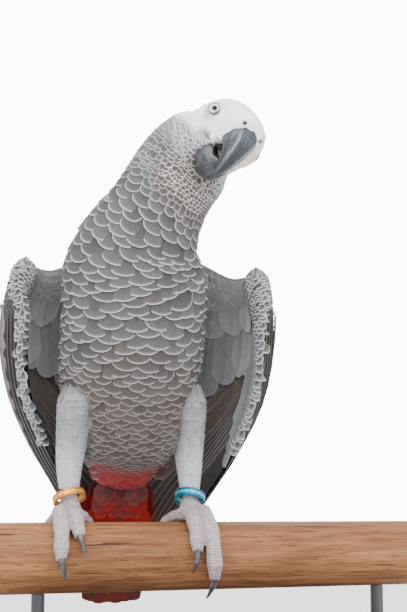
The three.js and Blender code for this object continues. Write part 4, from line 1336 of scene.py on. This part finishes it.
SLATE, SLATE_PALE = shade(40, 45, 52), shade(112, 120, 130)
upper_look = horn_finish("bill_horn", SLATE, SLATE_PALE, shade(84, 46, 32), 0.88, 0.75)
lower_look = horn_finish("lower_bill_horn", shade(36, 39, 43), shade(108, 112, 117), SLATE, 1.5, 0.0)
for name, look in (("bill_upper", upper_look), ("bill_lower", lower_look)):
    points, reads = horns[name]
    faces = grid_faces(*points.shape[:2], True)
    if name == "bill_lower":
        faces = faces[:, ::-1]
    horn_mesh = mesh_of(name + "_horn", points.reshape(-1, 3), faces)
    paint(horn_mesh, "horn", reads.reshape(-1, 3))
    piece(name + "_horn", horn_mesh, look, "bill_horn", name)

# %% [markdown]
# ## Claws and tongue
# These solids have the right form but flat facets. Each is remeshed finely and relaxed, and its
# finish reads how far along it a point lies.


# %% Smooth copies
def smooth_copy(name, node, voxel, times, finish, slot, root):
    """A remeshed, relaxed copy of a node. Its attribute says how far from the root each point lies,
    from 0 to 1."""
    points, quads = remeshed(voxel, node)
    points = relax(points, quads, times)
    mesh = mesh_of(name, points, quads)
    far = norm(points - root)
    paint(mesh, "horn", np.stack([(far - far.min()) / np.ptp(far), 0 * far, 0.6 + 0 * far], -1))
    return piece(name, mesh, finish, slot, node)


def claw_finish():
    """Dark slate horn, paler where it leaves the toe."""
    finish = Finish("claw_horn", 0.3, Coat_Weight=0.3, Coat_Roughness=0.2)
    down, _, _ = finish.parts(finish.attribute("horn", "Vector"))
    cloud = finish.noise(finish.place(), 300.0, 3.0, 0.6)
    colour = finish.layers(shade(46, 49, 54), (cloud.smooth(0.35, 0.7), shade(84, 88, 94)),
                           ((1 - down.smooth(0.0, 0.3)) * 0.6, shade(120, 112, 108)))
    return finish.complete(colour, cloud, 0.2, 0.0003)


def middle_of(node):
    """The middle of a node's box, in millimetres."""
    return from_frame(sum(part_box(node), Vector()) / 2)


claw_look = claw_finish()
for toe in TOES:
    claw = toe.replace("toe", "claw")
    smooth_copy(claw + "_horn", claw, 0.3, 4, claw_look, "claw_horn", middle_of(toe))

tongue_look = Finish("tongue_skin", 0.45, Coat_Weight=0.2)
grain = tongue_look.noise(tongue_look.place(), 900.0, 3.0, 0.6)
tongue_look.complete(tongue_look.blend(grain, shade(60, 52, 52), shade(104, 84, 80)), grain,
                     0.4, 0.0004)
smooth_copy("tongue_tip", "tongue", 0.35, 5, tongue_look, "tongue", HEAD)

# %% [markdown]
# ## The legs' and the tail's feathers
# The legs wear short, soft, pale feathers that end in a cuff above the ring. The tail is a flat fan
# of twelve red feathers, covered at its root, above and below, by shorter ones.

# %% Leg coats
leg_finish = feather_finish("leg_feather", glow=0.2, streak=0.3, shaft=0.0, root=0.35)
for side, sheet in leg_sheets.items():
    roots = staggered(sheet, growing(2.9, 2.1, 0.3, 0.9, 1.5), 0.10, 0.99)
    shown = roots[:, 2]
    high = ease(40, 66, sheet.at(roots[:, 0], roots[:, 1])[:, 2])[:, None]
    colours = mix(LEG, mix(LEG, GREY, 0.55), high) * rng.normal(1, 0.05, (len(roots), 1))
    made = strewn(sheet, roots, 4.2, 1.35, shown * 0.2 + 0.5, 0.1 + shown * 0.04, 0.08, 0.03, 5, 7)
    coat_piece(f"leg_{side}_coat", [made], [colours], leg_finish, "pale_feathers", rims=[(0.14, 0.3)])

# %% The tail
TAIL_ROOT, TAIL_TIP = np.array([0, 40, 27.0]), np.array([0, 80, -55.0])
TAIL_HALF = [[20], [22.5], [21], [19.5]]
TAIL_ARCH = 3.5  # how far its sides bend forward of its middle
RECTRICES = 12


def tail_surface(down, across):
    """The fan's middle: straight from root to tip, as wide as its rows say, its sides bent forward by
    the square of the way across."""
    ahead = unit(TAIL_TIP - TAIL_ROOT)
    behind = np.array([0, -ahead[2], ahead[1]])
    x = (2 * across - 1)[..., None]
    length = np.linalg.norm(TAIL_TIP - TAIL_ROOT)
    half = np.array([1, 0, 0]) * along(TAIL_HALF, down)
    return TAIL_ROOT + ahead * (down[..., None] * length) + half * x - behind * TAIL_ARCH * x**2


# %% Long feathers
def blades(sheet, roots, tips, bend, width, height, share=0.5, rows=18, tip=0.9):
    """Long feathers on a sheet. The shaft runs from root to tip: v grows evenly and u as the power
    bend of the way along, so that a feather leaves straight and then spreads. The blade is width
    wide, of which share lies on the side of growing u; its rows bow to a round tip, and its shaft
    stands a little proud."""
    s = np.linspace(0, 1, rows)[None, :, None]
    t = np.array([-1, -0.8, -0.45, -0.06, 0, 0.06, 0.45, 0.8, 1])[None, None, :]
    width, height, share, bend = each(len(roots), width, height, share, bend)
    start, end = roots[:, None, None, :], tips[:, None, None, :]
    length = norm(sheet.at(*tips.T) - sheet.at(*roots.T))[:, None, None]
    bow = tip * width / 2 * (1 - np.sqrt(np.maximum(0, 1 - (0.97 * t) ** 2)))
    reach = s * (1 - bow / length)
    u = mix(start[..., 0], end[..., 0], reach**bend)
    v = mix(start[..., 1], end[..., 1], reach)
    du = (end[..., 0] - start[..., 0]) * bend * np.maximum(reach, 1e-3) ** (bend - 1)
    dv = end[..., 1] - start[..., 1] + 0 * reach
    su, sv, normal = sheet.slopes(u, v)
    side = np.cross(normal, unit(su * du[..., None] + sv * dv[..., None]))
    side = side * np.sign(dot(side, su))[..., None]
    half = np.where(t > 0, share, 1 - share) * width * mix(0.3, 1.0, ease(0, 0.2, s))
    u, v = sheet.move(u, v, side * (t * half)[..., None])
    u, v = u if sheet.closed else np.clip(u, 0, 1), np.clip(v, 0, 1)
    rise = height + 0.28 * (np.abs(t) < 0.02) - 0.02 * half * t * t
    points = sheet.at(u, v) + sheet.slopes(u, v)[2] * rise[..., None]
    return feather_parts(points, np.minimum((1 - s) * length, half * (1.02 - np.abs(t))), s, t, roots)


# %% The tail's feathers
down, across = even_grid(60, 40)
tail_sheet = Sheet(tail_surface(down, across), False)
tail_sheet.face(np.array([0, 1, 0]), 0.5)
k = np.linspace(-1, 1, RECTRICES)
tail_roots = np.stack([0.5 + 0.22 * k, 0.0 * k], 1)
tail_tips = np.stack([0.5 + 0.36 * k, 0.985 - 0.05 * k**2 + rng.normal(0, 0.006, RECTRICES)], 1)
tail_height = 1.3 - 2.8 * np.abs(k) + 0.1 * (k > 0)
rectrices = blades(tail_sheet, tail_roots, tail_tips, 1.0, 13.5, tail_height, 0.5, tip=0.85)
tail_finish = feather_finish("tail_feather", shade(200, 60, 44), 0.3, 0.35, 0.35, 0.4)
# Painted shade: the fan's red is mixed with brown, and its tips turn browner still.
fan_finish = feather_finish("fan_feather", shade(170, 56, 42), 0.25, 0.35, 0.35, 0.4,
                            end=shade(92, 76, 68))
shaded_tail_colours = mix(RED, tone(84, 60, 52), 0.4) * rng.normal(1, 0.08, (RECTRICES, 1))
cover_parts, cover_colours = [], []
for face, stop in ((-1, 0.50), (1, 0.40)):
    cover_sheet = Sheet(tail_sheet.grid, False, face * tail_sheet.outwards, 0.02)
    roots = staggered(cover_sheet, growing(3.4, 6.5, 0.0, stop, 1.9), 0.0, stop)
    roots = roots[np.abs(roots[:, 0] - 0.5) < 0.42]
    high = ease(0.5, 0.0, roots[:, 1])
    cover_parts.append(strewn(cover_sheet, roots, 3.6, 1.3, -1.2 - 1.5 * high,
                              2.6 + 1.5 * high + 0.06 * roots[:, 2]))
    streaked = ease(0.22, 0.02, roots[:, 1] + rng.normal(0, 0.05, len(roots)))[:, None] * 0.75
    cover_colours.append(mix(RED, GREY * 0.8, streaked) * rng.normal(1, 0.1, (len(roots), 1)))
coat_piece("tail_fan", [rectrices], [shaded_tail_colours], fan_finish, "red_feathers", "tail",
           rims=[(0.6, 0.6)])
coat_piece("tail_covers", cover_parts, cover_colours, tail_finish, "red_feathers",
           rims=[(0.35, 0.5)] * 2)

# %% The two wings
PRIMARIES, SECONDARIES, EDGE_VANES = 10, 11, 4
ROLLED = {1: 0.03, -1: 0.05}  # how far across the outer face the leading edge is rolled in
BAND_INNER = {1: 0.07, -1: 0.03}  # how far the scalloped band reaches over the inner face, low down
BAND_OUTER = {1: 0.0, -1: 0.045}  # and over the outer one
FLIGHT = tone(84, 80, 79)
FLIGHT_UNDER = tone(104, 93, 86)
LOBE = tone(126, 126, 128)
flight_finish = feather_finish("flight_feather", (0.42, 0.40, 0.38), 0.25, 0.3, 0.4, 0.3)
covert_finish = feather_finish("covert_feather", root=0.6)
soft_finish = feather_finish("under_feather", (0.35, 0.35, 0.36), 0.35, 0.2, 0.0, 0.3)


def row_of(start_u, start_v, stop_u, stop_v):
    """Roots and tips of a row of long feathers, as pairs of u and v."""
    return np.stack([start_u, start_v + 0 * start_u], 1), np.stack([stop_u, stop_v + 0 * stop_u], 1)


def lit_roots(part, v, reach):
    """The same feathers, but those that start near the top edge get none of the painted shade at the
    root, because nothing covers them."""
    points, faces, vane, uv = part
    least = np.repeat(ease(reach, 0.3 * reach, v), len(points) // len(v))
    down = np.maximum(vane[:, 2], least)[:, None]
    return points, faces, np.concatenate([vane[:, :2], down], 1), uv


def top_edge(sheet):
    """The down along the wing's top edge, which closes it between the two faces' first feathers."""
    rows, columns = 5, 90
    u, v = np.meshgrid(np.linspace(0, 1, columns, endpoint=False), np.linspace(0, 0.07, rows))
    points = sheet.at(u, v)
    points[0] = (points[0] + points[0][::-1]) / 2
    faces = grid_faces(rows, columns, True)
    unwrap = np.stack([u, v], -1).reshape(-1, 2) * 0.98 + 0.01
    return points.reshape(-1, 3), faces, np.tile([4.0, 0.5, 1.0], (u.size, 1)), unwrap


for name, side in SIDES.items():
    flat, closed = wing_sheets(side)
    k, j, e = (np.linspace(0, 1, count) for count in (PRIMARIES, SECONDARIES, EDGE_VANES))
    hand = row_of(mix(0.10, 0.30, k), mix(0.20, 0.34, k),
                  mix(0.30, 0.93, k**0.8), mix(0.985, 0.70, k**1.3))
    hand[1][0, 1] = 0.90
    arm = row_of(mix(0.34, 0.90, j), mix(0.30, 0.10, j), mix(0.93, 0.95, j), mix(0.68, 0.30, j))
    rolled = ROLLED[side]  # where the outer face starts to show
    dark = row_of(outer_u(rolled + mix(0.0, 0.07, e)), 0.13,
                  outer_u(rolled + mix(0.0, 0.16, e)), mix(0.70, 0.95, e))
    brown = row_of(outer_u(mix(rolled + 0.12, 0.4, e)), 0.15,
                   outer_u(mix(rolled + 0.22, 0.5, e)), mix(0.72, 0.93, e))
    parts = [blades(flat, *hand, 1.7, mix(11, 17, k), mix(-0.9, 0.9, k), 0.72),
             blades(flat, *arm, 1.5, 17.0, mix(0.2, 1.3, j), 0.6),
             blades(closed, *dark, 1.0, 6.0, mix(0.3, 1.5, e), 0.6),
             blades(closed, *brown, 1.0, 12.0, mix(1.5, 2.2, e), 0.5)]
    tints = (FLIGHT * 0.8, FLIGHT_UNDER, FLIGHT * 0.35, mix(FLIGHT_UNDER, LOBE, 0.3) * 1.5)
    tints = [np.tile(tint, (len(row), 1)) for tint, row in zip(tints, (k, j, e, e))]
    coat_piece(f"wing_{name}_flight", parts, tints, flight_finish,
               "flight_feathers", f"wing_{name}_primaries", f"wing_{name}_secondaries",
               rims=[(0.6, 0.45), (0.35, 0.6), (0.7, 0.3), (0.4, 0.5)])

    outer = staggered(closed, growing(2.3, 5.0, 0.0, 0.34, 2.1), 0.003, 0.34)
    lowest = mix(0.15, 0.32, ease(0.03, 0.26, outer[:, 0]))
    outer = outer[(outer[:, 0] < 0.49) & (outer[:, 1] < lowest)]
    over = strewn(closed, outer, 3.6, 1.3, 0.3 + outer[:, 2] * 0.2, 0.4 + outer[:, 2] * 0.07)
    colours = coat_colour(closed.at(outer[:, 0], outer[:, 1]), rng.random(len(outer)))
    coat_piece(f"wing_{name}_coverts", [lit_roots(over, outer[:, 1], 0.06)], [colours], covert_finish,
               "grey_feathers", rims=[(0.8, 0.45)])

    band = staggered(closed, in_proportion((2.0, 3.0), (4.0, 5.0)), 0.003, 0.48)
    inner_side = mix(0.26, BAND_INNER[side], ease(0.06, 0.24, band[:, 1]))
    band = band[(band[:, 0] > inner_u(inner_side)) | (band[:, 0] < outer_u(BAND_OUTER[side]))]
    edge_rows = strewn(closed, band, 3.0, 1.1, 0.2, 1.8, 0.14, 0.1)
    coat_piece(f"wing_{name}_band", [lit_roots(edge_rows, band[:, 1], 0.06)],
               [np.tile(PALE * 0.8, (len(band), 1))], covert_finish, "grey_feathers",
               rims=[(0.85, 0.36)])

    tops = staggered(closed, in_proportion((2.4, 3.4), (4, 6), 8), 0.003, 0.075)
    tops = tops[(tops[:, 0] > 0.505) & (tops[:, 0] < inner_u(0.2))]
    upright = vanes(closed, tops, tops[:, 2] * 3.6, tops[:, 3] * 1.4, -1.0, 2.6)
    parts = [lit_roots(upright, tops[:, 1], 0.2)]
    tints = [np.tile(mix(LOBE, PALE, 0.4), (len(tops), 1))]
    for start, stops, first, last, count, wide, lift in (  # four rows of lobes, one over the other
            (0.06, (0.36, 0.30), 0.94, 0.22, 8, 13, 0.4),
            (0.10, (0.44, 0.30), 0.92, 0.40, 4, 22, 0.9),
            (0.20, (0.44, 0.56), rolled + 0.23, 0.11, 4, 9, 0.9),
            (0.02, (0.22, 0.19), 0.92, 0.32, 4, 21, 1.8)):
        across, share = np.linspace(first, last, count), np.linspace(0, 1, count)
        row = row_of(inner_u(across), start, inner_u(across), mix(*stops, share))
        parts.append(blades(closed, *row, 1.0, wide, lift + 0.35 * share))
        # Painted shade darkens the lobes towards the body, and painted light brightens them towards
        # the leading edge.
        tints.append(mix(LOBE * 0.55, LOBE * 1.3, ease(1.0, 0.3, across)[:, None]))
    coat_piece(f"wing_{name}_under", [*parts, top_edge(closed)], [*tints, mix(LOBE, PALE, 0.4)[None]],
               soft_finish, "grey_feathers", rims=[(0.2, 0.3)] + [(0.3, 1.0)] * 4 + [(0.0, 1.0)])

# %% [markdown]
# ## Rings, perch and stand
# These solids keep their shape, and get finishes. A ring's stripe needs to know the ring's own axis:
# it is the direction in which its points spread least.


# %% Finishes of the carried-over solids
def dress(node, finish):
    """Gives a node's object a material."""
    made = nodes[node]
    if not made.material_slots:
        made.data.materials.append(finish.material)
    for held in made.material_slots:
        held.material = finish.material


def ring_finish(name, node, metal, stripe, shadow, roughness):
    """A coloured metal ring: a lighter band along its middle, scratches round it, and dull patches."""
    points, _ = merged_nodes(node)
    middle = (points.min(0) + points.max(0)) / 2
    _, ways = np.linalg.eigh(np.cov((points - middle).T))
    axis = ways[:, 0]
    half = np.abs((points - middle) @ axis).max()
    finish = Finish(name, roughness, Metallic=0.55, Specular_IOR_Level=0.4)
    place = finish.place()
    from_middle = finish.node("ShaderNodeVectorMath", {"operation": "SUBTRACT"},
                              [place, tuple(to_frame(middle).tolist())])
    height = finish.node("ShaderNodeVectorMath", {"operation": "DOT_PRODUCT"},
                         [from_middle, tuple(axis.tolist())], "Value") * (1 / (half * MM))
    wear = finish.noise(place, 420.0, 4.0, 0.6)
    lines = abs(height).smooth(0.48, 0.56) * (1 - abs(height).smooth(0.6, 0.68))
    colour = finish.layers(metal, ((1 - abs(height).smooth(0.25, 0.5)) * 0.8, stripe),
                           (lines * 0.6, shadow), (wear.smooth(0.5, 0.75) * 0.4, shadow))
    return finish.complete(colour, wear, 0.15, 0.0002, roughness + wear * 0.25)


dress("ring_left", ring_finish("blue_ring", "ring_left", shade(0, 110, 140), shade(96, 196, 212),
                               shade(4, 44, 62), 0.35))
dress("ring_right", ring_finish("gold_ring", "ring_right", shade(206, 134, 40), shade(238, 176, 84),
                                shade(90, 56, 26), 0.28))


def wood_finish():
    """Turned wood: long grain, short dark pores and checks along it, and rings on the cut ends."""
    finish = Finish("perch_wood", 0.6, Specular_IOR_Level=0.2)
    place = finish.place()
    x, y, z = finish.parts(place)
    long_grain, fine, pores, cloud, checks = (
        finish.noise(finish.stretched(place, along_it, round_it, round_it), scale, detail, rough)
        for along_it, round_it, scale, detail, rough in (
            (5.0, 60.0, 4.0, 4.0, 0.6), (18.0, 420.0, 2.5, 3.0, 0.65), (60.0, 900.0, 1.6, 2.0, 0.5),
            (2.0, 6.0, 5.0, 2.0, 0.5), (7.0, 170.0, 3.0, 1.0, 0.4)))
    dark = pores.smooth(0.62, 0.72) * 0.75
    split = checks.smooth(0.705, 0.73)
    away = finish.vector(0.0, y - perch_axis[1], z - perch_axis[2])
    rings = (finish.node("ShaderNodeVectorMath", {"operation": "LENGTH"}, [away], "Value") * 520.0
             + cloud * 2.0).maths("PINGPONG", 1.0)
    ends = abs(x - perch_axis[0]).smooth(perch_half - 0.0006, perch_half - 0.0001)
    colour = finish.layers(
        shade(100, 60, 36), (long_grain.smooth(0.3, 0.7), shade(150, 103, 66)),
        (fine.smooth(0.35, 0.68) * 0.45, shade(172, 126, 86)),
        (cloud.smooth(0.4, 0.65) * 0.35, shade(94, 54, 32)),
        (dark, shade(58, 30, 16)), (split * 0.8, shade(40, 20, 11)),
        (ends, finish.blend(rings.smooth(0.2, 0.8), shade(112, 74, 48), shade(150, 112, 78))))
    height = fine * 0.6 - dark - split * 1.5 + long_grain * 0.5
    return finish.complete(colour, height, 0.45, 0.0006, 0.5 + fine * 0.3)


perch_axis = to_frame(perch_middle).tolist()
perch_half = (perch_high.x - perch_low.x) / 2
dress("perch", wood_finish())


def metal_finish():
    """Satin dark metal, a little uneven."""
    finish = Finish("stand_metal", 0.4, Metallic=0.9, Specular_IOR_Level=0.5)
    fine = finish.noise(finish.place(), 700.0, 4.0, 0.6)
    broad = finish.noise(finish.place(), 40.0, 3.0, 0.5)
    colour = finish.blend(fine * 0.5 + broad * 0.5, shade(62, 64, 67), shade(96, 98, 101))
    return finish.complete(colour, fine, 0.08, 0.0002, 0.3 + fine * 0.2 + broad * 0.1)


stand_look = metal_finish()
for node in ("stand_base", "stand_rod_left", "stand_rod_right"):
    dress(node, stand_look)

# %% [markdown]
# ## The studio
# A pale floor and soft lights all round: one large key from above in front, and a bright sky.

# %% Floor, lights and world
SKY, BACKDROP = 1.4, 12.0  # the world's light on the bird, and as the camera sees it


def studio():
    floor_points = np.array([[-4000, -4000, 0], [4000, -4000, 0], [4000, 4000, 0], [-4000, 4000, 0.0]])
    floor_mesh = mesh_of("floor", floor_points - [0, 0, FEET[2] + 0.2], [[0, 1, 2, 3]])
    floor = put("floor", floor_mesh)
    floor_finish = Finish("studio_floor", 0.8)
    cloud = floor_finish.noise(floor_finish.place(), 3.0)
    floor_finish.complete(floor_finish.blend(cloud, (0.78, 0.78, 0.79), (0.82, 0.82, 0.82)))
    floor_mesh.materials.append(floor_finish.material)
    for name, place, aim, size, watts in (
            ("key", [-300, -560, 950], [0, 0, 170], 1400, 26),
            ("fill", [900, -700, 500], [0, 0, 150], 1500, 9),
            ("rim", [200, 900, 700], [0, 0, 150], 1400, 13)):
        data = bpy.data.lights.new(name, "AREA")
        data.size = size * MM
        data.energy = watts
        light = put(name, data)
        light.location = to_frame(place)
        light.rotation_euler = Vector(np.subtract(aim, place)).to_track_quat("-Z", "Y").to_euler()
    world = bpy.data.worlds.new("studio")
    world.use_nodes = True
    tree = world.node_tree
    seen = tree.nodes.new("ShaderNodeLightPath").outputs["Is Camera Ray"]
    strength = tree.nodes.new("ShaderNodeMapRange")
    tree.links.new(seen, strength.inputs["Value"])
    strength.inputs["To Min"].default_value = SKY
    strength.inputs["To Max"].default_value = BACKDROP
    tree.links.new(strength.outputs[0], tree.nodes["Background"].inputs["Strength"])
    tree.nodes["Background"].inputs["Color"].default_value = (1, 1, 1, 1)
    bpy.context.scene.world = world


studio()
